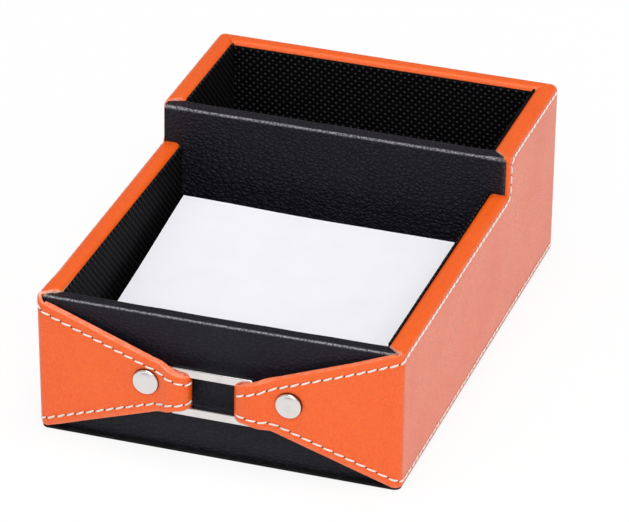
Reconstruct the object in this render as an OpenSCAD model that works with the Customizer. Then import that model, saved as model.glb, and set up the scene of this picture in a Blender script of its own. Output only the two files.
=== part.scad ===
// Desk tray for memo sheets and pens: leather-covered boards, with two straps that meet in a metal ring.
// Frame: +X right, +Y towards the back, +Z up. The origin is the centre of the underside.

/* [Box] */
// Outer width over the side leathers
body_w = 112; // [96:1:140]
// Outer depth, from the face of the front flaps at the corners to the back leather
body_d = 162; // [145:1:200]
// Height of the memo tray's rim
tray_h = 44.5; // [40:0.5:60]
// How much higher the rim of the pen compartment stands
step_h = 13.1; // [8:0.1:30]
// Depth of the pen section, from the divider's face to the back leather
pen_d = 55; // [40:0.1:70]
// How far the black walls' tops lie below the orange rims
rim_drop = 1.2; // [0.6:0.1:2]
// Radius of the upright outer corners
corner_r = 2.5; // [2:0.1:4]
// Radius of the rims' outer edges
rim_r = 2.2; // [1.3:0.1:3]
// Radius of the rims' inner edges
rim_in_r = 0.8; // [0.3:0.1:1]
// Radius of the upright edges beside the divider
step_r = 0.8; // [0.3:0.1:1.5]

/* [Boards] */
// Thickness of the side boards
side_board_t = 5; // [3:0.1:6]
// Thickness of the back board
back_board_t = 5; // [3:0.1:6]
// Thickness of the front board
front_board_t = 3; // [2:0.1:5]
// Thickness of the divider board
divider_board_t = 4; // [3:0.1:6]
// Thickness of the base board
base_board_t = 3; // [2:0.1:5]
// Thickness of the sloping tray floor
floor_board_t = 1.6; // [1:0.1:3]
// Width of the batten under the back of the sloping floor
riser_w = 8; // [5:0.5:15]

/* [Coverings] */
// Thickness of one layer of orange leather
leather_t = 1.1; // [0.8:0.1:1.2]
// Thickness of the black leather
black_t = 0.9; // [0.6:0.1:1.2]
// Radius of the black walls' top edges
black_r = 0.85; // [0.4:0.05:1.2]
// Thickness of the cloth linings
lining_t = 0.8; // [0.5:0.1:1.2]
// How far the linings' tops lie below the rims
lining_drop = 0.4; // [0.2:0.1:1.5]
// Thickness of the sheet under the base
base_sheet_t = 0.8; // [0.5:0.1:2]
// How far the base sheet stays inside the leather's face
base_inset = 0.4; // [0.2:0.1:1]

/* [Memo sheets] */
// Slope of the tray floor, higher at the back
floor_tilt = 6; // [0:0.5:8]
// Gap between the sheets and the side linings
side_gap = 4.1; // [0.5:0.1:15]
// Room for a finger between the sheets and the divider
finger_gap = 8.46; // [2:0.02:30]
// Height of the stack of sheets
stack_h = 15.6; // [3:0.2:20]
// Gap between the stack and the front wall
stack_gap = 0.4; // [0.3:0.1:2]
// Gap under the stack
stack_seat = 0.1; // [0.05:0.05:0.3]

/* [Straps and ring] */
// Height of the straps' centre line
strap_z = 22.3; // [20:0.1:25]
// Width of the ring's opening
ring_open_w = 20.8; // [17:0.1:30]
// Height of the ring's opening
ring_open_h = 10.8; // [8:0.1:13]
// Width of the ring's bars, seen from the front
ring_bar_w = 2.3; // [1.6:0.1:3]
// Thickness of the ring, front to back
ring_t = 2; // [1.4:0.1:2.6]
// Radius of the ring's outer corners
ring_r = 1; // [0.4:0.1:1.5]
// Clearance between the ring's faces and the strap's layers
ring_fit = 0.1; // [0.05:0.05:0.3]
// Gap between the strap's edges and the ring's long bars
edge_gap = 0.15; // [0.1:0.05:0.5]
// Straight length of the loop past the ring's end bar, before its round
fold_gap = 0.3; // [0.1:0.1:1]
// Gap between the straps' returned ends and the front wall
wall_gap = 0.5; // [0.45:0.05:1]
// How far the flap's top lies below the rim at the corner
flap_drop = 1.7; // [0.3:0.1:3]
// Length of the flap that lies flat on the wall beside the corner
flap_flat = 6; // [3:0.5:10]
// Height of the flap where it draws in to the strap
neck_h = 16.8; // [15:0.1:20]
// Length over which the flap draws in
neck_len = 6; // [4:0.5:8]
// Distance from the ring's end to where the strap's front layer starts to bend back
lap_gap = 0.5; // [0.3:0.1:1]
// Length over which the front layer bends back to the layer behind it
lap_len = 4.6; // [4.4:0.1:7]
// Flat leather left round the rivet's cap
cap_gap = 0.25; // [0.1:0.05:0.5]
// Gap between the strap's two layers at the rivet
layer_gap = 0.05; // [0.02:0.01:0.2]
// How far the rivets sit above the straps' centre line
rivet_up = 0.8; // [0:0.1:1.5]
// How far the returned end runs past the rivet
tail_over = 5; // [4.5:0.5:7]

/* [Rivets] */
// Diameter of the domed cap
cap_d = 7.9; // [6:0.1:9]
// Height of the cap's dome
cap_h = 1.1; // [0.6:0.1:2]
// Height of the cap's edge below the dome
cap_edge = 0.25; // [0.1:0.05:0.5]
// Outer diameter of the cap's tube
tube_d = 3; // [2.4:0.1:4]
// Diameter of the pin inside the tube
pin_d = 1.7; // [1:0.1:2]
// Clearance round the tube and round the pin
rivet_fit = 0.05; // [0.02:0.01:0.1]
// Diameter of the flat back
rivet_back_d = 6.4; // [5:0.1:8]
// Thickness of the flat back
rivet_back_t = 0.4; // [0.2:0.05:0.4]

/* [Hidden] */
$fn = 48;

// Colours, as the object shows them
orange = [0.95, 0.40, 0.15];
black_leather = [0.12, 0.12, 0.15];
black_cloth = [0.07, 0.07, 0.08];
board_brown = [0.62, 0.50, 0.36];
silver = [0.82, 0.83, 0.85];
paper_white = [0.95, 0.95, 0.97];

// Levels, from the desk up
base_top = base_sheet_t + base_board_t;
pen_h = tray_h + step_h;
low_top = tray_h - leather_t;
tall_top = pen_h - leather_t;
front_top = tray_h - rim_drop;
divider_top = pen_h - rim_drop;

// Places across the width, for the right half
half_w = body_w / 2;
board_out = half_w - leather_t;
side_in = board_out - side_board_t;
lining_in = side_in - lining_t;

// Places along the depth, from the front to the back
strap_t = 2 * leather_t;
front_y = -body_d / 2;
wall_y = front_y + strap_t;
front_b0 = wall_y + black_t;
front_b1 = front_b0 + front_board_t;
tray_y0 = front_b1 + black_t;
back_y = body_d / 2;
divider_y = back_y - pen_d;
divider_b0 = divider_y + black_t;
divider_b1 = divider_b0 + divider_board_t;
pen_y0 = divider_b1 + black_t;
back_b1 = back_y - leather_t;
back_b0 = back_b1 - back_board_t;
pen_y1 = back_b0 - lining_t;

// The strap's loop, and where its outer face lies along the front
loop_r = ring_t / 2 + ring_fit;
loop_out_r = loop_r + strap_t;
loop_y = wall_y - wall_gap - loop_out_r;
loop_x = ring_open_w / 2 - fold_gap;
ring_end_x = ring_open_w / 2 + ring_bar_w;
strap_h = ring_open_h - 2 * edge_gap;
tail_y = loop_y + loop_out_r;
lap_x0 = ring_end_x + lap_gap;
lap_x1 = lap_x0 + lap_len;
rivet_x = lap_x1 + cap_gap + cap_d / 2;
rivet_z = strap_z + rivet_up;
rivet_y = loop_y + loop_r - layer_gap - strap_t;
rivet_len = tail_y - rivet_y;
neck_x0 = ring_end_x - ring_bar_w / 2;
neck_x1 = neck_x0 + neck_len;
lift_x0 = rivet_x + tail_over;
lift_x1 = half_w - corner_r - flap_flat;
corner_top = tray_h - flap_drop;
eps = 0.01;

// Slides a plan shape up from z0 to z1
module along_z(z0, z1) {
    translate([0, 0, z0]) linear_extrude(height = z1 - z0) children();
}

// Slides a front-view shape, drawn in X and Z, back from y0 to y1
module along_y(y0, y1) {
    translate([0, y1, 0]) rotate([90, 0, 0]) linear_extrude(height = y1 - y0) children();
}

// Slides a side-view shape, drawn in Y and Z, across from x0 to x1
module along_x(x0, x1) {
    translate([x0, 0, 0]) rotate([90, 0, 90]) linear_extrude(height = x1 - x0) children();
}

// A rectangle between two corners
module span(low, high) {
    translate(low) square(high - low);
}

// The waste outside a quarter round of radius r, for a corner at the origin with its shape below left
module round_waste(r) {
    if (r > 0) difference() {
        translate([-r, -r]) square(r + 1);
        translate([-r, -r]) circle(r);
    }
}

// Section of a wall of thickness t from z0 to z1. It runs inwards from 0, with its top edges rounded.
module wall_section(t, z0, z1, r_out, r_in) {
    difference() {
        span([0, z0], [t, z1]);
        translate([0, z1]) mirror([1, 0]) round_waste(r_out);
        translate([t, z1]) round_waste(r_in);
    }
}

// Section of the leather that covers a board's face and top, with the board left out
module turned_leather(board_t, z0, z1) {
    difference() {
        wall_section(leather_t + board_t, z0, z1, rim_r, rim_in_r);
        translate([leather_t, 0]) wall_section(board_t + 1, z0 - 1, z1 - leather_t, rim_r - leather_t, 0);
    }
}

// Section of black leather over a board: both faces and the top, with the board left out
module folded_cover(board_t, z0, z1) {
    difference() {
        wall_section(board_t + 2 * black_t, z0, z1, black_r, black_r);
        translate([black_t, 0]) span([0, z0 - 1], [board_t, z1 - black_t]);
    }
}

// Puts a section on the right side, running inwards from x
module on_right(x) {
    translate([x, 0]) mirror([1, 0]) children();
}

// Plan of the whole box, inset from the leather's face
module box_plan(inset) {
    r = corner_r - inset;
    w = half_w - inset;
    d = body_d / 2 - inset;
    difference() {
        span([-w, -d], [w, d]);
        for (sx = [0, 1], sy = [0, 1]) mirror([sx, 0]) mirror([0, sy]) translate([w, d]) round_waste(r);
    }
}

// Where the front corner's mitre, from the boards' inner corner to the leather's outer one, crosses a depth y
function front_mitre_x(y) = side_in + (half_w - side_in) * (front_b1 - y) / (front_b1 - front_y);

// Where the mitre between the divider and the tall side boards crosses a depth y
function divider_mitre_x(y) = side_in + side_board_t * (divider_b1 - y) / (divider_b1 - divider_y);

// Plan of the right wall between its mitres, starting at depth y0 in front
module side_plan(y0) {
    polygon([
        [side_in, front_b1], [front_mitre_x(y0), y0], [half_w, y0], [half_w, back_y], [side_in, back_b0]
    ]);
}

// Plan of the tall part of the right wall: the board stops at the divider's mitre, the leather at its face
module tall_plan() {
    difference() {
        polygon([
            [side_in, divider_b1], [board_out, divider_y], [half_w, divider_y], [half_w, back_y],
            [side_in, back_b0]
        ]);
        translate([half_w, divider_y]) mirror([0, 1]) round_waste(step_r);
    }
}

// Plan of a wall across the box with mitred ends: y0 to y1 is mitred, and y1 to y2 is square
module cross_plan(x0, y0, y1, y2) {
    polygon([[-x0, y0], [x0, y0], [side_in, y1], [side_in, y2], [-side_in, y2], [-side_in, y1]]);
}

// Plan of the back wall, mitred to the sides
module back_plan() {
    polygon([[-half_w, back_y], [half_w, back_y], [side_in, back_b0], [-side_in, back_b0]]);
}

// Smooth step from 0 to 1 as x goes from x0 to x1
function share(x, x0, x1) = max(0, min(1, (x - x0) / (x1 - x0)));
function ease(t) = t * t * (3 - 2 * t);

// Height of an S bend of two equal arcs, after a length u of its run
function bend_r(run, rise) = (run * run + rise * rise) / (4 * rise);
function arc_sag(r, u) = r - sqrt(r * r - u * u);
function s_bend(u, run, rise) =
    u <= 0 ? 0 :
    u >= run ? rise :
    u < run / 2 ? arc_sag(bend_r(run, rise), u) : rise - arc_sag(bend_r(run, rise), run - u);

// Depth of the front layer's outer face at a place x. It leaves the wall towards the rivet, then steps over
// the ring.
function face_y(x) =
    front_y
    - s_bend(lift_x1 - x, lift_x1 - lift_x0, front_y - rivet_y)
    - s_bend(lap_x1 - x, lap_len, rivet_y - loop_y + loop_out_r);
function face_slope(x) = (face_y(x + eps) - face_y(x - eps)) / (2 * eps);

// Points of the strap's outer face, each with the direction that points into the leather
function turn_point(c, r, a) = [c + r * [cos(a), sin(a)], -[cos(a), sin(a)]];
function face_point(x) = [[x, face_y(x)], [-face_slope(x), 1] / norm([face_slope(x), 1])];
turn_steps = 8;
run_steps = 10;
flap_start = [[[half_w - corner_r, front_y], [0, 1]]];
lift_run = [for (i = [0:run_steps]) face_point(lift_x1 + (lift_x0 - lift_x1) * i / run_steps)];
lap_run = [for (i = [0:run_steps]) face_point(lap_x1 + (lap_x0 - lap_x1) * i / run_steps)];
loop_turn = [
    for (i = [0:2 * turn_steps])
        turn_point([loop_x, loop_y], loop_out_r, 270 - 90 * i / turn_steps)
];
tail_end = [[[rivet_x + tail_over, tail_y], [0, -1]]];
flap_path = concat(flap_start, lift_run, lap_run, loop_turn, tail_end);

// Plan of one layer of the strap, between two depths below its outer face
module layer_plan(d0, d1) {
    outside = [for (p = flap_path) p[0] + d0 * p[1]];
    inside = [for (i = [len(flap_path) - 1:-1:0]) flap_path[i][0] + d1 * flap_path[i][1]];
    polygon(concat(outside, inside));
}

// Half the height of the flap at a place x along its neck
function neck_half(x) = (strap_h + (neck_h - strap_h) * ease(share(x, neck_x0, neck_x1))) / 2;

// Front view of the right flap: full height at the corner, tapering to the neck, then the strap's own width
module flap_outline() {
    neck = [for (i = [0:run_steps]) neck_x0 + neck_len * i / run_steps];
    top = [for (x = neck) [x, strap_z + neck_half(x)]];
    bottom = [for (i = [run_steps:-1:0]) [neck[i], strap_z - neck_half(neck[i])]];
    turn_x = half_w - corner_r;
    polygon(concat(
        [[0, strap_z - strap_h / 2], [0, strap_z + strap_h / 2]],
        top,
        [[turn_x, corner_top], [half_w + 1, corner_top], [half_w + 1, base_sheet_t], [turn_x, base_sheet_t]],
        bottom
    ));
}

// One layer of the right flap, strap and loop, with the rivet's hole
module flap_layer(d0, d1) {
    difference() {
        intersection() {
            along_z(0, tray_h) layer_plan(d0, d1);
            along_y(loop_y - loop_out_r - 1, tray_y0) flap_outline();
        }
        rivet_bore(tube_d / 2 + rivet_fit);
    }
}

// A straight hole through both layers at the right rivet
module rivet_bore(r) {
    reach = wall_y - loop_y + loop_out_r;
    translate([rivet_x, wall_y, rivet_z]) rotate([90, 0, 0]) cylinder(r = r, h = reach);
}

// A piece and its mirror image, as two separate solids
module both_sides() {
    children();
    mirror([1, 0, 0]) children();
}

// Turns a section, drawn outwards from the corner's upright axis, round the right front corner
module round_corner() {
    translate([half_w - corner_r, front_y + corner_r, 0]) rotate([0, 0, -90])
        rotate_extrude(angle = 90) children();
}

// The right front corner: leather of the flap's height all round, and the rim's top as far as the mitre
module corner_leather() {
    round_corner() span([corner_r - leather_t, base_sheet_t], [corner_r, corner_top]);
    intersection() {
        round_corner() intersection() {
            on_right(corner_r) turned_leather(side_board_t, base_sheet_t, tray_h);
            span([0, corner_top], [corner_r, tray_h]);
        }
        along_z(0, tray_h) side_plan(front_y);
    }
}

// Leather of the right side: the low and tall rims, the face below them, the front corner, flap and strap
module wrap_right() {
    intersection() {
        along_y(front_y + corner_r, divider_y) on_right(half_w)
            turned_leather(side_board_t, base_sheet_t, tray_h);
        along_z(0, tray_h) side_plan(front_y);
    }
    along_y(divider_y, divider_b1) span([board_out, base_sheet_t], [half_w, low_top]);
    intersection() {
        along_y(divider_y, back_y) on_right(half_w) turned_leather(side_board_t, base_sheet_t, pen_h);
        along_z(0, pen_h) intersection() {
            tall_plan();
            box_plan(0);
        }
    }
    corner_leather();
    flap_layer(0, leather_t);
}

// Board of the right side, low along the tray and tall along the pens, with mitred ends
module side_board_right() {
    intersection() {
        along_z(base_top, pen_h) intersection() {
            side_plan(wall_y);
            box_plan(leather_t);
        }
        union() {
            along_y(wall_y, back_b1) on_right(board_out)
                wall_section(side_board_t, base_top, low_top, rim_r - leather_t, 0);
            intersection() {
                along_y(divider_y, back_b1) on_right(board_out)
                    wall_section(side_board_t, base_top, tall_top, rim_r - leather_t, 0);
                along_z(base_top, pen_h) tall_plan();
            }
        }
    }
}

// Lining of the right wall between two depths
module lining_right(y0, y1, rim) {
    along_y(y0, y1) span([lining_in, base_top], [side_in, rim - lining_drop]);
}

// Height above the base board of a surface that lies on the sloping floor, at a depth y
function slope_z(y, above) = base_top + above / cos(floor_tilt) + (y - tray_y0) * tan(floor_tilt);

// A sheet on the slope, between two heights measured square to it
module sloped_sheet(above, thick) {
    along_x(-lining_in, lining_in) polygon([
        [tray_y0, slope_z(tray_y0, above)], [divider_y, slope_z(divider_y, above)],
        [divider_y, slope_z(divider_y, above + thick)], [tray_y0, slope_z(tray_y0, above + thick)]
    ]);
}

module base_sheet() {
    color(black_cloth) along_z(0, base_sheet_t) box_plan(base_inset);
}

module base_board() {
    color(board_brown) along_z(base_sheet_t, base_top) intersection() {
        box_plan(leather_t);
        span([-half_w, front_b0], [half_w, back_y]);
    }
}

module left_side_board() {
    color(board_brown) mirror([1, 0, 0]) side_board_right();
}

module right_side_board() {
    color(board_brown) side_board_right();
}

module front_board() {
    color(board_brown) along_z(base_top, front_top - black_t)
        cross_plan(front_mitre_x(front_b0), front_b0, front_b1, front_b1);
}

module back_board() {
    color(board_brown) intersection() {
        along_x(-half_w, half_w) translate([back_b1, 0]) mirror([1, 0])
            wall_section(back_board_t, base_top, tall_top, rim_r - leather_t, 0);
        along_z(base_top, pen_h) intersection() {
            back_plan();
            box_plan(leather_t);
        }
    }
}

module divider_board() {
    color(board_brown) {
        along_z(base_top, low_top) span([-side_in, divider_b0], [side_in, divider_b1]);
        along_z(low_top, divider_top - black_t)
            cross_plan(divider_mitre_x(divider_b0), divider_b0, divider_b1, divider_b1);
    }
}

module tray_floor_board() {
    color(board_brown) sloped_sheet(0, floor_board_t);
}

module floor_riser() {
    y0 = divider_y - riser_w;
    color(board_brown) along_x(-lining_in, lining_in) polygon([
        [y0, base_top], [divider_y, base_top], [divider_y, slope_z(divider_y, 0)], [y0, slope_z(y0, 0)]
    ]);
}

module left_wrap() {
    color(orange) mirror([1, 0, 0]) wrap_right();
}

module right_wrap() {
    color(orange) wrap_right();
}

module left_strap_backing() {
    color(orange) mirror([1, 0, 0]) flap_layer(leather_t, strap_t);
}

module right_strap_backing() {
    color(orange) flap_layer(leather_t, strap_t);
}

module back_wrap() {
    color(orange) intersection() {
        along_x(-half_w, half_w) translate([back_y, 0]) mirror([1, 0])
            turned_leather(back_board_t, base_sheet_t, pen_h);
        along_z(0, pen_h) intersection() {
            back_plan();
            box_plan(0);
        }
    }
}

module front_cover() {
    color(black_leather) difference() {
        intersection() {
            along_x(-half_w, half_w) translate([wall_y, 0])
                folded_cover(front_board_t, base_sheet_t, front_top);
            along_z(0, tray_h) cross_plan(front_mitre_x(wall_y), wall_y, front_b1, tray_y0);
        }
        along_z(0, base_top) span([-half_w, front_b0], [half_w, tray_y0 + 1]);
    }
}

module divider_cover() {
    color(black_leather) intersection() {
        along_x(-half_w, half_w) translate([divider_y, 0])
            folded_cover(divider_board_t, base_top, divider_top);
        union() {
            along_z(base_top, low_top) span([-side_in, divider_y], [side_in, pen_y0]);
            along_z(low_top, pen_h) cross_plan(board_out, divider_y, divider_b1, pen_y0);
        }
    }
}

module tray_left_lining() {
    color(black_cloth) mirror([1, 0, 0]) lining_right(tray_y0, divider_y, tray_h);
}

module tray_right_lining() {
    color(black_cloth) lining_right(tray_y0, divider_y, tray_h);
}

module pen_left_lining() {
    color(black_cloth) mirror([1, 0, 0]) lining_right(pen_y0, back_b0, pen_h);
}

module pen_right_lining() {
    color(black_cloth) lining_right(pen_y0, back_b0, pen_h);
}

module pen_back_lining() {
    color(black_cloth) along_x(-lining_in, lining_in)
        span([pen_y1, base_top], [back_b0, pen_h - lining_drop]);
}

module tray_floor_lining() {
    color(black_cloth) sloped_sheet(floor_board_t, lining_t);
}

module pen_floor_lining() {
    color(black_cloth) along_z(base_top, base_top + lining_t) span([-lining_in, pen_y0], [lining_in, pen_y1]);
}

module buckle_ring() {
    w = ring_end_x;
    h = ring_open_h / 2 + ring_bar_w;
    color(silver) along_y(loop_y - ring_t / 2, loop_y + ring_t / 2) translate([0, strap_z]) difference() {
        span([-w, -h], [w, h]);
        for (sx = [0, 1], sz = [0, 1]) mirror([sx, 0]) mirror([0, sz]) translate([w, h]) round_waste(ring_r);
        square([ring_open_w, ring_open_h], center = true);
    }
}

module rivet_caps() {
    tube_len = rivet_len - rivet_fit;
    dome_r = (pow(cap_d / 2, 2) + pow(cap_h, 2)) / (2 * cap_h);
    color(silver) both_sides() translate([rivet_x, rivet_y, rivet_z]) rotate([90, 0, 0]) difference() {
        union() {
            cylinder(d = cap_d, h = cap_edge);
            translate([0, 0, cap_edge]) intersection() {
                translate([0, 0, cap_h - dome_r]) sphere(dome_r);
                cylinder(d = cap_d, h = cap_h);
            }
            translate([0, 0, -tube_len]) cylinder(d = tube_d, h = tube_len);
        }
        translate([0, 0, -tube_len - 1]) cylinder(d = pin_d + 2 * rivet_fit, h = tube_len + 1);
    }
}

module rivet_backs() {
    pin_len = rivet_len - 2 * rivet_fit;
    color(silver) both_sides() translate([rivet_x, tail_y, rivet_z]) rotate([90, 0, 0]) {
        translate([0, 0, -rivet_back_t]) cylinder(d = rivet_back_d, h = rivet_back_t);
        cylinder(d = pin_d, h = pin_len);
    }
}

module memo_sheets() {
    lean = stack_h * sin(floor_tilt);
    x0 = lining_in - side_gap;
    y0 = tray_y0 + stack_gap + lean;
    z0 = slope_z(y0, floor_board_t + lining_t + stack_seat);
    sheet_d = (divider_y - finger_gap - y0) / cos(floor_tilt);
    color(paper_white) translate([-x0, y0, z0]) rotate([floor_tilt, 0, 0]) cube([2 * x0, sheet_d, stack_h]);
}

base_sheet();
base_board();
left_side_board();
right_side_board();
front_board();
back_board();
divider_board();
tray_floor_board();
floor_riser();
left_wrap();
right_wrap();
left_strap_backing();
right_strap_backing();
back_wrap();
front_cover();
divider_cover();
tray_left_lining();
tray_right_lining();
pen_left_lining();
pen_right_lining();
pen_back_lining();
tray_floor_lining();
pen_floor_lining();
buckle_ring();
rivet_caps();
rivet_backs();
memo_sheets();
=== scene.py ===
"""Looks of a leather desk tray, built around its packed construction.

A low tray for memo sheets stands in front of a taller pen compartment. Orange leather covers the sides and
the back. In front it tapers to two straps, which loop through a metal ring and are held by rivets. Lengths
in the classes are millimetres in the part's frame: +X right, +Y back, +Z up from the desk. They become
metres when a mesh is made.
"""

import logging
import math
from collections.abc import Callable, Mapping, Sequence
from dataclasses import dataclass, field, replace
from enum import Enum, IntEnum
from typing import Any

import bmesh
import bpy
import numpy as np
from mathutils import Matrix, Vector


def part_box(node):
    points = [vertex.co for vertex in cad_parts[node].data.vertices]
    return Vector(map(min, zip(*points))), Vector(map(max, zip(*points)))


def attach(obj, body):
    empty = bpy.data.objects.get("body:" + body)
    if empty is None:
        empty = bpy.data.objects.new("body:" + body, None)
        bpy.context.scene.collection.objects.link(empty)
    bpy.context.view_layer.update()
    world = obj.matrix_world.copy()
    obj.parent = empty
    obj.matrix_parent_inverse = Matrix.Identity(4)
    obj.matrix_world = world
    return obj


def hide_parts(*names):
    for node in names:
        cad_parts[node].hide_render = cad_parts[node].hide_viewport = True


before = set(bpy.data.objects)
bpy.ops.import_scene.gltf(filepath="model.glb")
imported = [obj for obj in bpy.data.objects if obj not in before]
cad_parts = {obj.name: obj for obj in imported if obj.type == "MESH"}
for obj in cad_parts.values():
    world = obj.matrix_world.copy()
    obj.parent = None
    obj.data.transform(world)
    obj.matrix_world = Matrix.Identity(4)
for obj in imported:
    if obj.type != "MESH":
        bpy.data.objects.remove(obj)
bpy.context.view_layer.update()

MM = 0.001
SHARP_ANGLE = math.radians(48)
WELD_GAP = 0.002
SEARCH_PART = 1500
Array = np.ndarray
Triple = tuple[float, float, float]
Colour = tuple[float, float, float, float]
Material = bpy.types.Material
Piece = bpy.types.Object
WHITE: Colour = (1.0, 1.0, 1.0, 1.0)
log = logging.getLogger("desk_tray")


class Body(str, Enum):
    """Bodies of the construction that the pieces ride on."""

    HOLDER = "holder"
    SHEETS = "memo_block"


class Slot(str, Enum):
    """Material slots of the part's record."""

    ORANGE = "orange_leather"
    BLACK = "black_leather"
    CLOTH = "black_cloth"
    FELT = "base_felt"
    BOARD = "board"
    METAL = "polished_metal"
    PAPER = "memo_paper"


class Side(IntEnum):
    """Sides of the tray, as the sign of their X."""

    LEFT = -1
    RIGHT = 1

    @property
    def word(self) -> str:
        """Name of the side in the construction's node names."""
        return self.name.lower()


class Lay(Enum):
    """How a cloth lies, which sets the plane of its weave."""

    UPRIGHT = "upright"
    FLAT = "flat"


def per_side(left: float, right: float) -> Any:
    """A dataclass field with a value for each side."""
    return field(default_factory=lambda: {Side.LEFT: left, Side.RIGHT: right})


def round_turn(count: int) -> Array:
    """Angles of even places round a full turn."""
    return np.linspace(0.0, 2 * np.pi, count, endpoint=False)


def both_ways(half: Array) -> Array:
    """Places that start at 0, with their mirror image put before them."""
    return np.concatenate([-half[:0:-1], half])


def eased(share: Array | float) -> Array:
    """Runs from 0 to 1 with flat ends as the share runs from 0 to 1."""
    held = np.clip(share, 0.0, 1.0)
    return held * held * (3.0 - 2.0 * held)


def blend(first: Array | float, last: Array | float, share: Array | float) -> Array:
    """Runs from the first to the last value as the share runs from 0 to 1."""
    return first + (last - first) * share


def between(low: Array, high: Array, count: int) -> list[Array]:
    """Even rows between two rows, without both ends."""
    return [low + (high - low) * (k + 1) / (count + 1) for k in range(count)]


def box_mm(node: str) -> tuple[Array, Array]:
    """Lowest and highest corner of a node of the construction, in millimetres."""
    low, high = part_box(node)
    return np.array(low) / MM, np.array(high) / MM


class Wire:
    """A shader socket that takes part in Python expressions on values."""

    def __init__(self, graph: "ShaderGraph", socket: bpy.types.NodeSocket) -> None:
        """Keeps the graph that the socket belongs to."""
        self.graph = graph
        self.socket = socket

    def peer(self, output: str | int) -> "Wire":
        """Another output of the same node."""
        return Wire(self.graph, self.socket.node.outputs[output])

    def __add__(self, other: "Wire | float") -> "Wire":
        """Sum of two values."""
        return self.graph.math("ADD", self, other)

    def __radd__(self, other: float) -> "Wire":
        """Sum of a number and a value."""
        return self.graph.math("ADD", other, self)

    def __sub__(self, other: "Wire | float") -> "Wire":
        """Difference of two values."""
        return self.graph.math("SUBTRACT", self, other)

    def __rsub__(self, other: float) -> "Wire":
        """A number less a value."""
        return self.graph.math("SUBTRACT", other, self)

    def __mul__(self, other: "Wire | float") -> "Wire":
        """Product of two values."""
        return self.graph.math("MULTIPLY", self, other)

    def __rmul__(self, other: float) -> "Wire":
        """Product of a number and a value."""
        return self.graph.math("MULTIPLY", other, self)


class ShaderGraph:
    """A node tree of a material or of the world, built by expressions."""

    def __init__(self, owner: Material | bpy.types.World) -> None:
        """Starts with an empty tree."""
        owner.use_nodes = True
        self.owner = owner
        self.tree = owner.node_tree
        self.tree.nodes.clear()

    @classmethod
    def of_material(cls, name: str) -> "ShaderGraph":
        """Tree of a new material."""
        return cls(bpy.data.materials.new(name))

    def add(self, kind: str, settings: Mapping[str, Any] | None = None,
            inputs: Mapping[str | int, Any] | None = None, output: str | int = 0) -> Wire:
        """Adds a node.

        Args:
            kind: The node's type.
            settings: Properties that are set first.
            inputs: Values or wires of the node's input sockets, by name or number.
            output: The output socket to return.

        Returns:
            The wire of that output.
        """
        node = self.tree.nodes.new(kind)
        for key, value in (settings or {}).items():
            setattr(node, key, value)
        for key, value in (inputs or {}).items():
            if isinstance(value, Wire):
                self.tree.links.new(value.socket, node.inputs[key])
            else:
                node.inputs[key].default_value = value
        return Wire(self, node.outputs[output] if len(node.outputs) else node.inputs[0])

    def math(self, operation: str, *values: Wire | float) -> Wire:
        """A Math node on up to three values."""
        return self.add("ShaderNodeMath", {"operation": operation}, dict(enumerate(values)))

    def vector(self, operation: str, *values: Any) -> Wire:
        """A Vector Math node on up to three vectors."""
        return self.add("ShaderNodeVectorMath", {"operation": operation}, dict(enumerate(values)))

    def mix(self, share: Wire | float, first: Wire | Colour, second: Wire | Colour) -> Wire:
        """A colour that runs from the first to the second as the share runs from 0 to 1."""
        return self.add("ShaderNodeMix", {"data_type": "RGBA"}, {0: share, 6: first, 7: second}, 2)

    def place(self, stretch: Triple = (1.0, 1.0, 1.0)) -> Wire:
        """Place on the object in millimetres, with each axis drawn out by its stretch."""
        coords = self.add("ShaderNodeTexCoord", output="Object")
        return self.vector("MULTIPLY", coords, tuple(1.0 / (MM * s) for s in stretch))

    def noise(self, place: Wire, size: float, detail: float = 2.0, output: int = 0) -> Wire:
        """Soft noise with lumps of a size in millimetres."""
        sockets = {"Vector": place, "Scale": 1.0 / size, "Detail": detail}
        return self.add("ShaderNodeTexNoise", {}, sockets, output)

    def fade(self, value: Wire, low: float, high: float) -> Wire:
        """Runs smoothly from 0 to 1 as a value runs from low to high."""
        sockets = {"Value": value, "From Min": low, "From Max": high}
        return self.add("ShaderNodeMapRange", {"interpolation_type": "SMOOTHSTEP"}, sockets)

    def mark(self, name: str) -> Wire:
        """A number that the mesh holds at its points."""
        return self.add("ShaderNodeAttribute", {"attribute_name": name}, output="Fac")

    def bump(self, height: Wire, relief: float) -> Wire:
        """Normal of a surface with relief of a height in millimetres."""
        return self.add("ShaderNodeBump", {}, {"Height": height, "Distance": relief * MM, "Strength": 1.0})

    def surface(self, inputs: Mapping[str, Any]) -> Material:
        """Ends the tree in a principled surface.

        Args:
            inputs: Values or wires of the surface's sockets.

        Returns:
            The finished material.
        """
        shader = self.add("ShaderNodeBsdfPrincipled", {}, inputs)
        self.add("ShaderNodeOutputMaterial", {}, {"Surface": shader})
        return self.owner


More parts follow.
